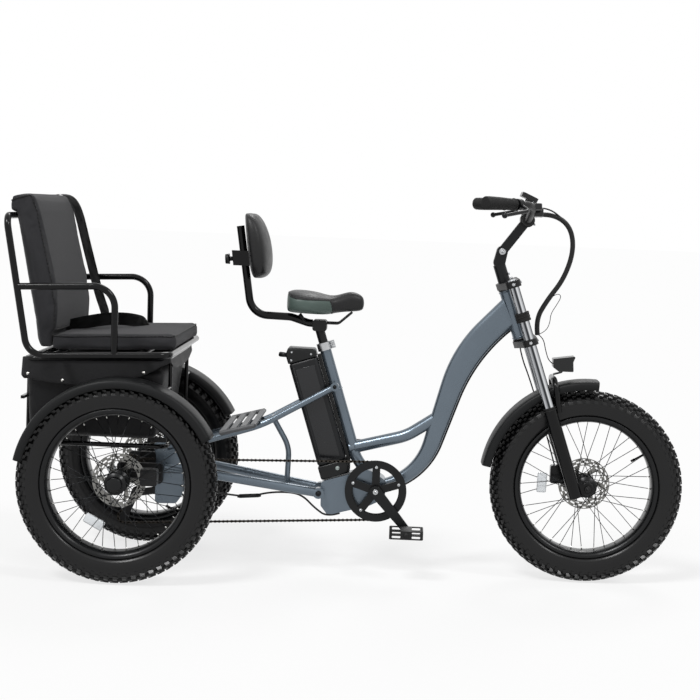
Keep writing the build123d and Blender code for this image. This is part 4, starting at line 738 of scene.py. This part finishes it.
def swell(obj, voxel, pressure, limit, frames=14):
    """Inflates a closed cushion a little with a cloth simulation, and caps how far it moves."""
    remesh = obj.modifiers.new("voxels", "REMESH")
    remesh.mode = "VOXEL"
    remesh.voxel_size = voxel
    depsgraph = bpy.context.evaluated_depsgraph_get()
    solid = bpy.data.meshes.new_from_object(obj.evaluated_get(depsgraph))
    obj.modifiers.clear()
    obj.data = solid
    rest = [v.co.copy() for v in solid.vertices]
    cloth = obj.modifiers.new("cloth", "CLOTH")
    cloth.settings.quality = 5
    cloth.settings.use_pressure = True
    cloth.settings.uniform_pressure_force = pressure
    cloth.settings.tension_stiffness = 25
    cloth.settings.compression_stiffness = 25
    cloth.settings.effector_weights.gravity = 0
    scene = bpy.context.scene
    for number in range(1, frames + 1):
        scene.frame_set(number)
    depsgraph = bpy.context.evaluated_depsgraph_get()
    blown = bpy.data.meshes.new_from_object(obj.evaluated_get(depsgraph))
    obj.modifiers.clear()
    scene.frame_set(1)
    for vert, start in zip(blown.vertices, rest):
        moved = vert.co - start
        if moved.length > limit:
            vert.co = start + moved * (limit / moved.length)
    obj.data = blown


TILT = radians(2.2)
pan_ahead = Vector((cos(TILT), 0, sin(TILT)))
pan_up = Vector((-sin(TILT), 0, cos(TILT)))
pan = spot(-216, 0, 666.6)


def on_pan(ahead, left, up):
    """A point in mm on the tilted seat pan."""
    return pan + pan_ahead * (ahead / 1000) + Vector((0, left / 1000, 0)) + pan_up * (up / 1000)


def foam(corners, half, offset, place, name, cloth):
    """A foam cushion with rounded edges, swollen a little in its cover."""
    block = bmesh.new()
    slab(block, corners, half, offset, place, 4)
    made = piece(block, name, cloth)
    swell(made, 0.006, 3.0, 0.004)
    made.data.materials.clear()
    made.data.materials.append(cloth)
    for polygon in made.data.polygons:
        polygon.use_smooth = True
    return made


seat_pad = foam(((4, 13), (374, 13), (374, 52), (4, 52)), 276, 7, on_pan, "seat_pad", seat_cloth)
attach(seat_pad, "chassis")
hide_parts("seat_cushion")

# The cushion is thicker than its CAD solid, as it swells between the frame and the passenger.
BACK_OUTLINE = ((-346, 1104), (-341, 1126), (-282, 1134), (-262, 1082), (-243, 1000), (-213, 878), (-203, 800),
                (-205, 735), (-217, 729), (-217, 682), (-250, 682), (-262, 760), (-283, 866), (-322, 1066),
                (-325, 1081), (-344, 1083))
back_foam = foam(BACK_OUTLINE, 276, 5, spot, "back_pad", seat_cloth)
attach(back_foam, "chassis")
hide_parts("back_cushion")


def cord_line(name, points, radius, material, cyclic=False):
    """A round cord through points as one smooth curve."""
    line = bpy.data.curves.new(name, "CURVE")
    line.dimensions = "3D"
    line.bevel_depth = radius
    line.bevel_resolution = 3
    line.use_fill_caps = True
    run = line.splines.new("NURBS")
    run.points.add(len(points) - 1)
    for point, at in zip(run.points, points):
        point.co = (*at, 1)
    run.order_u = 3
    run.use_endpoint_u = True
    run.use_cyclic_u = cyclic
    line.materials.append(material)
    made = bpy.data.objects.new(name, line)
    bpy.context.scene.collection.objects.link(made)
    return made


def piping(name, corners, cushion, material):
    """Sewn piping, 4 mm round, along a closed seam that is laid on the cushion's skin."""
    bpy.context.view_layer.update()
    loop = []
    for first, second in zip(corners, corners[1:] + corners[:1]):
        steps = max(1, round((second - first).length / 0.012))
        for step in range(steps):
            place, normal = cushion.closest_point_on_mesh(first.lerp(second, step / steps))[1:3]
            loop.append(place + normal * 0.0012)
    bm = bmesh.new()
    for first, second in zip(loop, loop[1:] + loop[:1]):
        if (second - first).length > 1e-5:
            rod(bm, first, second, 0.0019, sides=6)
        bmesh.ops.create_icosphere(bm, subdivisions=1, radius=0.0019, matrix=Matrix.Translation(first))
    return piece(bm, name, material)


SEAT_SEAM = ((2, -272), (2, 272), (12, 282), (366, 282), (377, 272), (377, -272), (366, -282), (12, -282))
seat_piping = piping("seat_piping", [on_pan(a, y, 56) for a, y in SEAT_SEAM], seat_pad, dark_cloth)
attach(seat_piping, "chassis")
BACK_SEAM = ((-342, 1112), (-282, 1135), (-261, 1082), (-242, 1000), (-212, 878), (-202, 800), (-205, 735))
back_corners = [spot(x, -279, z) for x, z in BACK_SEAM] + [spot(x, 279, z) for x, z in BACK_SEAM[::-1]]
back_piping = piping("back_piping", back_corners, back_foam, dark_cloth)
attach(back_piping, "chassis")


def strap(bm, points, width_way, width, thickness=0.0022):
    """Flat webbing that follows points, as wide as it says along one direction."""
    half = [w.normalized() * width / 2 for w in width_way]
    rows = [(bm.verts.new(p - h), bm.verts.new(p + h)) for p, h in zip(points, half)]
    faces = [bm.faces.new((a0, b0, b1, a1)) for (a0, b0), (a1, b1) in zip(rows, rows[1:])]
    bmesh.ops.solidify(bm, geom=faces, thickness=thickness)


belt = bmesh.new()
belt_points = [(-338, 246, 1080), (-340, 250, 1118), (-312, 252, 1138), (-270, 252, 1136), (-240, 252, 1086),
               (-219, 252, 1000), (-190, 251, 900), (-168, 250, 820), (-150, 248, 775), (-142, 246, 752),
               (-150, 244, 738), (-192, 242, 732)]
belt_ways = [Vector((0.06, 1, 0))] * 3 + [Vector((0.7, 1, 0.1))] * 7 + [Vector((0.1, 1, 0))] * 2
strap(belt, [spot(*p) for p in belt_points], belt_ways, 0.044)
shoulder = piece(belt, "shoulder_strap", webbing)
round_off(shoulder, 2)
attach(shoulder, "chassis")
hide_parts("seat_belt")

lap = bmesh.new()
lap_points = [(-222, -62, 728), (-196, -50, 736), (-150, -28, 747), (-92, 0, 757), (-40, 48, 755), (-4, 100, 745),
              (12, 132, 734), (4, 160, 731), (-40, 190, 731), (-120, 224, 731), (-200, 238, 729)]
lap_ways = ([Vector((0.1, -0.25, 1))] * 6 + [Vector((-0.5, -0.1, 0.7)), Vector((-0.6, 0.6, 0.2))]
            + [Vector((-0.3, 0.9, 0))] * 3)
strap(lap, [spot(*p) for p in lap_points], lap_ways, 0.046, 0.005)
strap(lap, [spot(x + 5, y + 11, z - 1) for x, y, z in lap_points[:7]], lap_ways[:7], 0.044, 0.005)
lap_belt = piece(lap, "lap_belt", webbing)
round_off(lap_belt, 2)
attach(lap_belt, "chassis")

buckle_mesh = bmesh.new()
buckle_place = Matrix.Translation(spot(-150, 226, 735)) @ Matrix.Rotation(0.5, 4, "Z")
bmesh.ops.create_cube(buckle_mesh, size=1, matrix=buckle_place @ Matrix.Diagonal((0.062, 0.044, 0.014, 1)))
bmesh.ops.bevel(buckle_mesh, geom=list(buckle_mesh.edges), offset=0.004, segments=3, profile=0.5,
                affect="EDGES", material=-1)
buckle = piece(buckle_mesh, "belt_buckle", cap_plastic)
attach(buckle, "chassis")


# The rack is a cage of thin black steel tube on the rear frame. The bag hangs in it: coated black
# fabric with a loose skirt that is snapped to the body, and seams at its corners.
dress("rack", gloss_black)

bag_mesh = bmesh.new()
# z, rear x, front x, half width of the bag (mm)
BAG_LEVELS = ((407, -278, 93, 230), (430, -284, 98, 236), (500, -288, 104, 240), (560, -290, 112, 246),
              (600, -291, 118, 249), (638, -291, 122, 251))
rings = []
for z, rear, front, half in BAG_LEVELS:
    outline = [(rear, -half), (rear, half), (front, half), (front, -half)]
    verts = []
    for number in range(4):
        (x0, y0), (x1, y1) = outline[number], outline[(number + 1) % 4]
        for part in range(12):
            share = part / 12
            sag = 6.0 * sin(pi * share) * sin(3 * pi * share + z * 0.045 + number)
            nx, ny = (y1 - y0), -(x1 - x0)
            size = sqrt(nx * nx + ny * ny)
            verts.append(bag_mesh.verts.new(spot(x0 + (x1 - x0) * share + nx / size * abs(sag),
                                                 y0 + (y1 - y0) * share + ny / size * abs(sag), z)))
    rings.append(verts)
for verts in rings:
    for first, second in zip(verts, verts[1:] + verts[:1]):
        bag_mesh.edges.new((first, second))
skin_rings(bag_mesh, rings)
bag = piece(bag_mesh, "bag_body", dark_cloth)
round_off(bag, 2)
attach(bag, "chassis")
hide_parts("storage_bag")

skirt_mesh = bmesh.new()
upper, lower = [], []
# station and height of the skirt's lower edge along each side
HEM = ((-318, 634), (-308, 602), (-266, 583), (-182, 574), (-68, 564), (67, 611), (160, 664))


def hem_height(x):
    """Height of the lower edge at a station, from the table."""
    for (x0, z0), (x1, z1) in zip(HEM, HEM[1:]):
        if x <= x1:
            return z0 + (z1 - z0) * max(0.0, (x - x0) / (x1 - x0))
    return HEM[-1][1]


SKIRT_CORNERS = ((-306, -262), (142, -262), (142, 262), (-306, 262))
random.seed(7)
for (x0, y0), (x1, y1) in zip(SKIRT_CORNERS, SKIRT_CORNERS[1:] + SKIRT_CORNERS[:1]):
    for part in range(20):
        share = part / 20
        x, y = x0 + (x1 - x0) * share, y0 + (y1 - y0) * share
        ripple = 3.2 * sin(share * 22 + x0) + random.uniform(-1.5, 1.5)
        out = (0, 1 if y0 > 0 else -1) if y0 == y1 else (1 if x0 > 0 else -1, 0)
        top = 656 + (x + 216) * 0.0384
        low = hem_height(x) if y0 == y1 else hem_height(x) - 34 * sin(pi * share) ** 0.5
        upper.append(skirt_mesh.verts.new(spot(x - out[0] * 8, y - out[1] * 8, top - 2)))
        lower.append(skirt_mesh.verts.new(spot(x + out[0] * ripple * 0.4, y + out[1] * ripple * 0.4,
                                               low + random.uniform(-1.5, 1.5))))
for n in range(len(upper)):
    after = (n + 1) % len(upper)
    skirt_mesh.faces.new((upper[n], upper[after], lower[after], lower[n]))
hanging = [e for e in skirt_mesh.edges if (e.verts[0] in upper) != (e.verts[1] in upper)]
bmesh.ops.subdivide_edges(skirt_mesh, edges=hanging, cuts=3)
bmesh.ops.solidify(skirt_mesh, geom=list(skirt_mesh.faces), thickness=0.0016)
skirt = piece(skirt_mesh, "bag_skirt", dark_cloth)
round_off(skirt, 1)
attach(skirt, "chassis")

snaps = bmesh.new()
for side in (-1, 1):
    for x, z in ((60, 618), (-68, 577), (-180, 586), (-284, 602)):
        rod(snaps, spot(x, side * 261, z), spot(x, side * 264.5, z), 0.0055, 0.0042, sides=16)
snap_set = piece(snaps, "bag_snaps", nickel)
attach(snap_set, "chassis")


# Injection moulded fenders in satin dark grey plastic, round in section with a rolled lip, held to
# the rack and to the fork bridge by screws. The footrest is a steel frame with four grey treads.
fender_plastic, tree, shader = start_material("satin_moulded_polypropylene", "#0f1011", 0.46, Specular_IOR_Level=0.2)
vary(tree, shader, "#0d0e0f", "#131415", 12.0, 0.42, 0.54, 0.00008, 800.0)
# name, node, body, centre station (mm), centre y, first angle, arc, outer radius
FENDERS = (("fender_shell_right", "fender_right", "chassis", 4.0, -TRACK_HALF, 28.0, 140.5, 0.3108),
           ("fender_shell_left", "fender_left", "chassis", 4.0, TRACK_HALF, 28.0, 140.5, 0.3108),
           ("fender_shell_front", "front_fender", "steering", 1408.0, 0.0, 86.0, 84.0, 0.3308))
for name, node, body, station, middle, first, arc, reach in FENDERS:
    centre = Vector((REAR_AXLE_X + station / 1000, middle, TYRE_R))
    half = 0.058
    section = ((reach - 0.0278, -half), (reach - 0.0180, -half), (reach - 0.0095, -half * 0.985),
               (reach - 0.0042, -half * 0.93), (reach - 0.0014, -half * 0.80), (reach - 0.0003, -half * 0.50),
               (reach, 0.0))
    outer = list(section) + [(r, -y) for r, y in reversed(section[:-1])]
    shell = bmesh.new()
    turn = Matrix.Translation(centre) @ Matrix.Rotation(-radians(first), 4, "Y")
    verts = [shell.verts.new(turn @ Vector((r, y, 0))) for r, y in outer]
    edges = [shell.edges.new(pair) for pair in zip(verts, verts[1:])]
    bmesh.ops.spin(shell, geom=verts + edges, cent=centre, axis=(0, 1, 0), angle=-radians(arc), steps=64)
    bmesh.ops.remove_doubles(shell, verts=shell.verts, dist=1e-6)
    bmesh.ops.recalc_face_normals(shell, faces=shell.faces)
    outward = sum((f.normal.dot(f.calc_center_median() - centre) for f in shell.faces))
    if outward < 0:
        bmesh.ops.reverse_faces(shell, faces=shell.faces)
    bmesh.ops.solidify(shell, geom=list(shell.faces), thickness=0.0024)
    fender = piece(shell, name, fender_plastic)
    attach(fender, body)
    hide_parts(node)

grey_steel, tree, shader = start_material("grey_powder_coat", "#4b4c4e", 0.5, 0.2)
vary(tree, shader, "#434446", "#58595b", 20.0, 0.44, 0.58, 0.0001, 500.0)
dress("footrest", grey_steel)


# A suspension fork with two black crowns clamped round chromed steel stanchions, rubber bump stops,
# and cast black lower legs with dropouts. Socket screws pinch each crown.
chrome, tree, shader = start_material("hard_chromed_steel", "#b9bbbe", 0.1, 1.0)
stop_rubber, tree, shader = start_material("moulded_black_rubber", "#0d0d0d", 0.6, Specular_IOR_Level=0.3)
vary(tree, shader, "#0a0a0a", "#131313", 60.0, 0.54, 0.7, 0.0002, 500.0)
dress("fork_crowns", satin_black)
dress("stanchions", chrome)
dress("bump_stops", stop_rubber)
dress("fork_lowers", gloss_black)

LEAN = radians(19)
steer_up = Vector((-sin(LEAN), 0, cos(LEAN)))
steer_ahead = Vector((cos(LEAN), 0, sin(LEAN)))
head_middle = spot(1408, 0, 297.5) - steer_ahead * 0.062 + steer_up * 0.565


def on_head(ahead, left, up):
    """A point in mm from the middle of the head tube, along and across the steering axis."""
    return head_middle + steer_ahead * (ahead / 1000) + Vector((0, left / 1000, 0)) + steer_up * (up / 1000)


# The chrome's dark and bright streaks are a painted reflection: bands of colour along each tube, placed by the distance
# across it, that stand in for the surroundings mirrored in it.
STANCHION_R, LEG_AHEAD = 0.016, 0.020
chrome_tree = chrome.node_tree
chrome_at = add_node(chrome_tree, "ShaderNodeTexCoord")
across = add_node(chrome_tree, "ShaderNodeVectorMath", (("operation", "DOT_PRODUCT"),), ((0, chrome_at, "Object"),))
across.inputs[1].default_value = steer_ahead
tube_middle = head_middle.dot(steer_ahead) + LEG_AHEAD
share_across = add_node(chrome_tree, "ShaderNodeMapRange",
                        (("From Min", tube_middle - STANCHION_R), ("From Max", tube_middle + STANCHION_R)),
                        (("Value", across, "Value"),))
bands = add_node(chrome_tree, "ShaderNodeValToRGB", (), (("Fac", share_across, "Result"),))
# Position across the tube and tone of each band of the painted reflection, dark and bright.
PAINTED_REFLECTION_STREAKS = ((0.0, "#3a3c3f"), (0.16, "#c9cbce"), (0.34, "#8b8d90"), (0.44, "#232427"), (0.56, "#4a4c4f"),
           (0.66, "#e2e4e6"), (0.84, "#a3a5a8"), (0.95, "#2e3033"))
stops = bands.color_ramp.elements
for number, (where, tone) in enumerate(PAINTED_REFLECTION_STREAKS):
    if number == 0:
        stop = stops[0]
    elif number == len(PAINTED_REFLECTION_STREAKS) - 1:
        stop = stops[-1]
    else:
        stop = stops.new(where)
    stop.position = where
    stop.color = linear(tone)
chrome_tree.links.new(bands.outputs["Color"], chrome_tree.nodes["Principled BSDF"].inputs["Base Color"])

fork_bolts = bmesh.new()
for level in (-81, 104):
    for side in (-1, 1):
        socket_screw(fork_bolts, on_head(43.6, side * 66, level), steer_ahead, 0.0042, 0.004)
        socket_screw(fork_bolts, on_head(20, side * 103.8, level), Vector((0, side, 0)), 0.0050, 0.0040)
for side in (-1, 1):
    socket_screw(fork_bolts, on_head(20, side * 80, 114), steer_up, 0.0125, 0.005)
fork_screws = piece(fork_bolts, "fork_screws", zinc_screw)
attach(fork_screws, "steering")

axle_bolts = bmesh.new()
for side in (-1, 1):
    socket_screw(axle_bolts, on_head(62, side * 73, -565), Vector((0, side, 0)), 0.0105, 0.0065)
front_axle_bolts = piece(axle_bolts, "front_axle_bolts", satin_black)
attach(front_axle_bolts, "steering")

seals = bmesh.new()
for side in (-1, 1):
    bead(seals, on_head(20, side * 80, -291), steer_up, 0.0172, 0.0030)
    bead(seals, on_head(20, side * 80, -297), steer_up, 0.0200, 0.0016)
    for level in (-10, 0, 10):
        bead(seals, on_head(20, side * 80, level), steer_up, 0.0218, 0.0016)
seal_set = piece(seals, "stanchion_seals", stop_rubber)
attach(seal_set, "steering")

cups = bmesh.new()
for level, height in ((-70.5, 5), (88.5, 5)):
    rod(cups, on_head(0, 0, level), on_head(0, 0, level + height), 0.0252, sides=40)
headset = piece(cups, "headset_cups", satin_black)
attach(headset, "chassis")


# An adjustable black alloy stem with a pinch bolt at its joint holds a swept bar. Moulded rubber
# grips with fine ribs, forged brake levers with ball ends, and a tilted display in a clamp.
dress("stem", satin_alloy)
dress("handlebar", satin_black)
dress("brake_levers", satin_alloy)
stem_bolts = bmesh.new()
for side in (-1, 1):
    socket_screw(stem_bolts, on_head(20, side * 14.6, 206), Vector((0, side, 0)), 0.0105, 0.005)
    socket_screw(stem_bolts, on_head(19, side * 10, 136), Vector((1, 0, 0.3)), 0.0038, 0.004)
    for height in (-1, 1):
        socket_screw(stem_bolts, spot(1190 + 20, side * 15, 1112 + height * 13), Vector((1, 0, 0.2)), 0.0036, 0.004)
stem_screws = piece(stem_bolts, "stem_screws", zinc_screw)
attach(stem_screws, "steering")

grip_rubber, tree, shader = start_material("soft_grip_rubber", "#0d0d0d", 0.62, Specular_IOR_Level=0.3)
vary(tree, shader, "#0a0a0a", "#131313", 50.0, 0.56, 0.72, 0.0003, 700.0)
for side, name in ((-1, "right"), (1, "left")):
    bar_end, bar_bend = spot(1047, side * 310, 1158), spot(1180, side * 177, 1157)
    way = (bar_end - bar_bend).normalized()
    grip_mesh = bmesh.new()
    start = bar_end - way * 0.121
    profile = [(0.0125, 0.0), (0.0178, 0.0), (0.0184, 0.002), (0.0178, 0.005), (0.0158, 0.007)]
    for rib in range(17):
        along = 0.010 + rib * 0.0062
        swell_out = 0.0162 + 0.0030 * sin(pi / 2 * rib / 16)
        profile += [(swell_out, along), (swell_out + 0.0006, along + 0.0012),
                    (swell_out + 0.0006, along + 0.0034), (swell_out, along + 0.0046)]
    profile += [(0.0192, 0.118), (0.0196, 0.1215), (0.0186, 0.1244), (0.0150, 0.1249), (0.0001, 0.1249)]
    axis_place = aim(start, way)
    verts = [grip_mesh.verts.new(axis_place @ Vector((r, 0, along))) for r, along in profile]
    edges = [grip_mesh.edges.new(pair) for pair in zip(verts, verts[1:])]
    bmesh.ops.spin(grip_mesh, geom=verts + edges, cent=start, axis=way, angle=2 * pi, steps=36, use_merge=True)
    bmesh.ops.remove_doubles(grip_mesh, verts=grip_mesh.verts, dist=1e-6)
    bmesh.ops.recalc_face_normals(grip_mesh, faces=grip_mesh.faces)
    grip = piece(grip_mesh, f"grip_{name}", grip_rubber)
    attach(grip, "steering")
    if side < 0:
        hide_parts("grips")

screen_glass, tree, shader = start_material("display_glass", "#1c2226", 0.06, Coat_Weight=0.8, Specular_IOR_Level=0.6)
vary(tree, shader, "#1a2024", "#232a2f", 20.0, 0.05, 0.1)
housing_plastic, tree, shader = start_material("gloss_moulded_abs", "#0b0c0d", 0.22, Specular_IOR_Level=0.4)
vary(tree, shader, "#090a0b", "#101112", 20.0, 0.18, 0.28, 0.00005, 600.0)
dress("display", housing_plastic)
screen_way = Vector((sin(radians(24)), 0, cos(radians(24))))
screen_place = aim(spot(1192, 0, 1181) + screen_way * 0.0072, screen_way)
screen_mesh = bmesh.new()
bmesh.ops.create_cube(screen_mesh, size=1, matrix=screen_place @ Matrix.Diagonal((0.042, 0.080, 0.0012, 1)))
bmesh.ops.bevel(screen_mesh, geom=list(screen_mesh.edges), offset=0.0005, segments=2, profile=0.5,
                affect="EDGES", material=-1)
screen = piece(screen_mesh, "display_screen", screen_glass)
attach(screen, "steering")

balls = bmesh.new()
for side in (-1, 1):
    bar_end, bar_bend = spot(1047, side * 310, 1158), spot(1180, side * 177, 1157)
    way = (bar_end - bar_bend).normalized()
    lever_side = way.cross(Vector((0, 0, 1))).normalized()
    if lever_side.x < 0:
        lever_side = -lever_side
    lever_start = bar_end - way * 0.151
    tip = lever_start + way * 0.118 + lever_side * 0.044 - Vector((0, 0, 0.034))
    bmesh.ops.create_uvsphere(balls, u_segments=20, v_segments=12, radius=0.0088, matrix=Matrix.Translation(tip))
lever_balls = piece(balls, "lever_ball_ends", satin_alloy)
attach(lever_balls, "steering")


# Brake and throttle pods of moulded plastic on the bar beside the grips, with bright cover screws.
controls, bright_parts = bmesh.new(), bmesh.new()
for side in (-1, 1):
    for y, x, z, size in ((118, 1208, 1152, (0.030, 0.034, 0.020)), (84, 1214, 1136, (0.034, 0.024, 0.026))):
        at = spot(x, side * y, z)
        pod_place = Matrix.Translation(at) @ Matrix.Rotation(side * 0.2, 4, "X")
        cube = bmesh.ops.create_cube(controls, size=1, matrix=pod_place @ Matrix.Diagonal((*size, 1)))
        edges = {edge for vert in cube["verts"] for edge in vert.link_edges}
        bmesh.ops.bevel(controls, geom=list(edges), offset=0.004, segments=3, profile=0.5,
                        affect="EDGES", material=-1)
        for shift in (-0.010, 0.010):
            top = at + Vector((shift, 0, size[2] / 2))
            socket_screw(bright_parts, top - Vector((0, 0, 0.001)), Vector((0, 0, 1)), 0.0028, 0.0022)
    rod(bright_parts, spot(1222, side * 66, 1130), spot(1232, side * 66, 1131), 0.0062, sides=20)
control_pods = piece(controls, "control_pods", housing_plastic)
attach(control_pods, "steering")
control_screws = piece(bright_parts, "control_screws", zinc_screw)
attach(control_screws, "steering")


# A moulded black lamp with a visor and a clear polycarbonate lens, on a bent steel bracket that is
# bolted to the fork bridge.
dress("headlight", housing_plastic)
lens, tree, shader = start_material("clear_polycarbonate_lens", "#e8ecef", 0.08, 0.0, Coat_Weight=0.6)
vary(tree, shader, "#dde2e6", "#f2f5f7", 160.0, 0.05, 0.12)
lens_mesh = bmesh.new()
lens_place = Matrix.Translation(spot(1349.5, 0, 667)) @ Matrix.Rotation(-0.06, 4, "Y")
bmesh.ops.create_cube(lens_mesh, size=1, matrix=lens_place @ Matrix.Diagonal((0.004, 0.044, 0.026, 1)))
bmesh.ops.bevel(lens_mesh, geom=list(lens_mesh.edges), offset=0.0018, segments=3, profile=0.5,
                affect="EDGES", material=-1)
lens_piece = piece(lens_mesh, "headlight_lens", lens)
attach(lens_piece, "steering")


# Brake hoses and wires run from the bar to the lower crown in one black sleeve, with two hoses going
# in at its top and thin wires coming out. One cable follows the lower edge of the main tube to the
# crank housing, and the motor's cable, with a plug, runs under the right stay.
hose, tree, shader = start_material("black_pvc_hose", "#0c0c0c", 0.4, Specular_IOR_Level=0.32)
vary(tree, shader, "#090909", "#121212", 70.0, 0.36, 0.48, 0.0002, 400.0)
dress("frame_cable", hose)
BUNDLE = ((1214, 1128), (1258, 1136), (1320, 1104), (1338, 1030), (1312, 938), (1262, 868), (1230, 806), (1238, 760))
bundle = cord_line("hose_bundle", [spot(x, 0, z) for x, z in BUNDLE], 0.0078, hose)
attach(bundle, "steering")
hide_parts("cable_bundle")
brake_path = [on_head(a, y, u) for a, y, u in ((-8, 36, -92), (-12, 52, -130), (-6, 74, -200), (-5, 78, -300),
                                               (-5, 78, -400), (-7, 70, -450), (-9, 56, -486))]
# name, radius, body, points (mm): hoses and wires of the bundle, the fork's brake hose, the motor cable
LINES = (("bar_hose_near", 0.0024, "steering",
          ((1196, -60, 1140), (1224, -40, 1152), (1258, -14, 1146), (1284, -4, 1131), (1302, -2, 1115))),
         ("bar_hose_far", 0.0024, "steering",
          ((1198, 50, 1126), (1228, 34, 1124), (1262, 14, 1128), (1284, 4, 1124), (1302, 2, 1113))),
         ("wire_loop", 0.0011, "steering",
          ((1268, 0, 872), (1290, -6, 892), (1306, -10, 884), (1292, -8, 856), (1275, -6, 828), (1274, -4, 798),
           (1262, -2, 772), (1241, 0, 762))),
         ("headlight_lead", 0.0015, "steering",
          ((1240, -6, 762), (1256, -8, 752), (1264, -8, 716), (1276, -6, 680), (1292, 0, 672))),
         ("front_brake_hose", 0.0022, "steering",
          tuple(((at.x - REAR_AXLE_X) * 1000, at.y * 1000, at.z * 1000) for at in brake_path)),
         ("motor_cable", 0.0030, "chassis",
          ((164, -116, 262), (220, -100, 250), (300, -84, 236), (371, -66, 228), (429, -60, 244), (497, -56, 247),
           (536, -52, 236), (572, -48, 200), (612, -44, 172), (650, -34, 184))))
for name, radius, body, points in LINES:
    line = cord_line(name, [spot(*point) for point in points], radius, hose)
    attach(line, body)
    run = sum((Vector(b) - Vector(a)).length for a, b in zip(points, points[1:])) / 1000
plug = bmesh.new()
rod(plug, spot(342, -72, 230), spot(398, -62, 233), 0.0062, sides=20)
rod(plug, spot(334, -73.4, 229.4), spot(342, -72, 230), 0.0040, 0.0062, sides=20)
rod(plug, spot(398, -62, 233), spot(406, -60.6, 233.6), 0.0062, 0.0040, sides=20)
cable_plug = piece(plug, "cable_plug", stop_rubber)
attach(cable_plug, "chassis")


# A plain pale floor and soft lamps. The camera stands where the photograph was taken from, on the
# rider's right side a little ahead of the middle, at hip height.
def seen_or_mirrored(tree):
    """1 for the rays that the camera sends out and those that metal and glass send on, else 0."""
    path = add_node(tree, "ShaderNodeLightPath")
    seen = add_node(tree, "ShaderNodeMath", (("operation", "MAXIMUM"),),
                    ((0, path, "Is Camera Ray"), (1, path, "Is Glossy Ray")))
    return add_node(tree, "ShaderNodeMath", (("operation", "MAXIMUM"),),
                    ((0, seen, "Value"), (1, path, "Is Transmission Ray")))


floor_paint, tree, shader = start_material("pale_floor", "#f6f6f6", 0.9, Specular_IOR_Level=0.0)
seen_at_all = seen_or_mirrored(tree)
glow_share = add_node(tree, "ShaderNodeMapRange", (("To Min", 0.0), ("To Max", 0.75)),
                      (("Value", seen_at_all, "Value"),))
bright = add_node(tree, "ShaderNodeEmission", (("Strength", 1.0),))
blend = add_node(tree, "ShaderNodeMixShader", (),
                 ((0, glow_share, "Result"), (1, shader, "BSDF"), (2, bright, "Emission")))
tree.links.new(blend.outputs["Shader"], tree.nodes["Material Output"].inputs["Surface"])
floor_mesh = bmesh.new()
bmesh.ops.create_grid(floor_mesh, x_segments=1, y_segments=1, size=60)
floor = piece(floor_mesh, "floor", floor_paint, smooth=False)

world = bpy.data.worlds.new("studio")
bpy.context.scene.world = world
world.use_nodes = True
sky = world.node_tree
backdrop = sky.nodes["Background"]
level = add_node(sky, "ShaderNodeMapRange", (("To Min", 0.25), ("To Max", 1.0)),
                 (("Value", seen_or_mirrored(sky), "Value"),))
sky.links.new(level.outputs["Result"], backdrop.inputs["Strength"])
backdrop.inputs["Color"].default_value = (1, 1, 1, 1)

# direction that the light comes from, energy, width in degrees
LAMPS = (((-0.45, -0.65, 1.0), 1.8, 16.0), ((0.7, -0.5, 0.8), 0.8, 14.0), ((0.2, 0.9, 0.9), 0.6, 20.0))
for number, (way, energy, spread) in enumerate(LAMPS):
    lamp = bpy.data.lights.new(f"soft_lamp_{number}", "SUN")
    lamp.energy = energy
    lamp.angle = radians(spread)
    holder = bpy.data.objects.new(f"soft_lamp_{number}", lamp)
    holder.matrix_world = aim(Vector(way) * 3, Vector(way))
    bpy.context.scene.collection.objects.link(holder)

FOCAL_PIXELS = 1737.65
FRAME_PIXELS = 700
SENSOR = 36.0
camera = bpy.data.cameras.new("camera")
camera.sensor_fit = "HORIZONTAL"
camera.sensor_width = SENSOR
camera.lens = FOCAL_PIXELS / FRAME_PIXELS * SENSOR
camera_holder = bpy.data.objects.new("camera", camera)
right = Vector((0.99880, 0.02920, 0.03921))
up = Vector((-0.04144, 0.08025, 0.99591))
ahead = Vector((-0.02593, 0.99635, -0.08137))
stand = Vector((0.8011 + REAR_AXLE_X, -5.3630, 1.1276))
camera_holder.matrix_world = Matrix(((right.x, up.x, -ahead.x, stand.x), (right.y, up.y, -ahead.y, stand.y),
                                     (right.z, up.z, -ahead.z, stand.z), (0, 0, 0, 1)))
bpy.context.scene.collection.objects.link(camera_holder)
bpy.context.scene.camera = camera_holder
bpy.context.scene.view_settings.view_transform = "Standard"
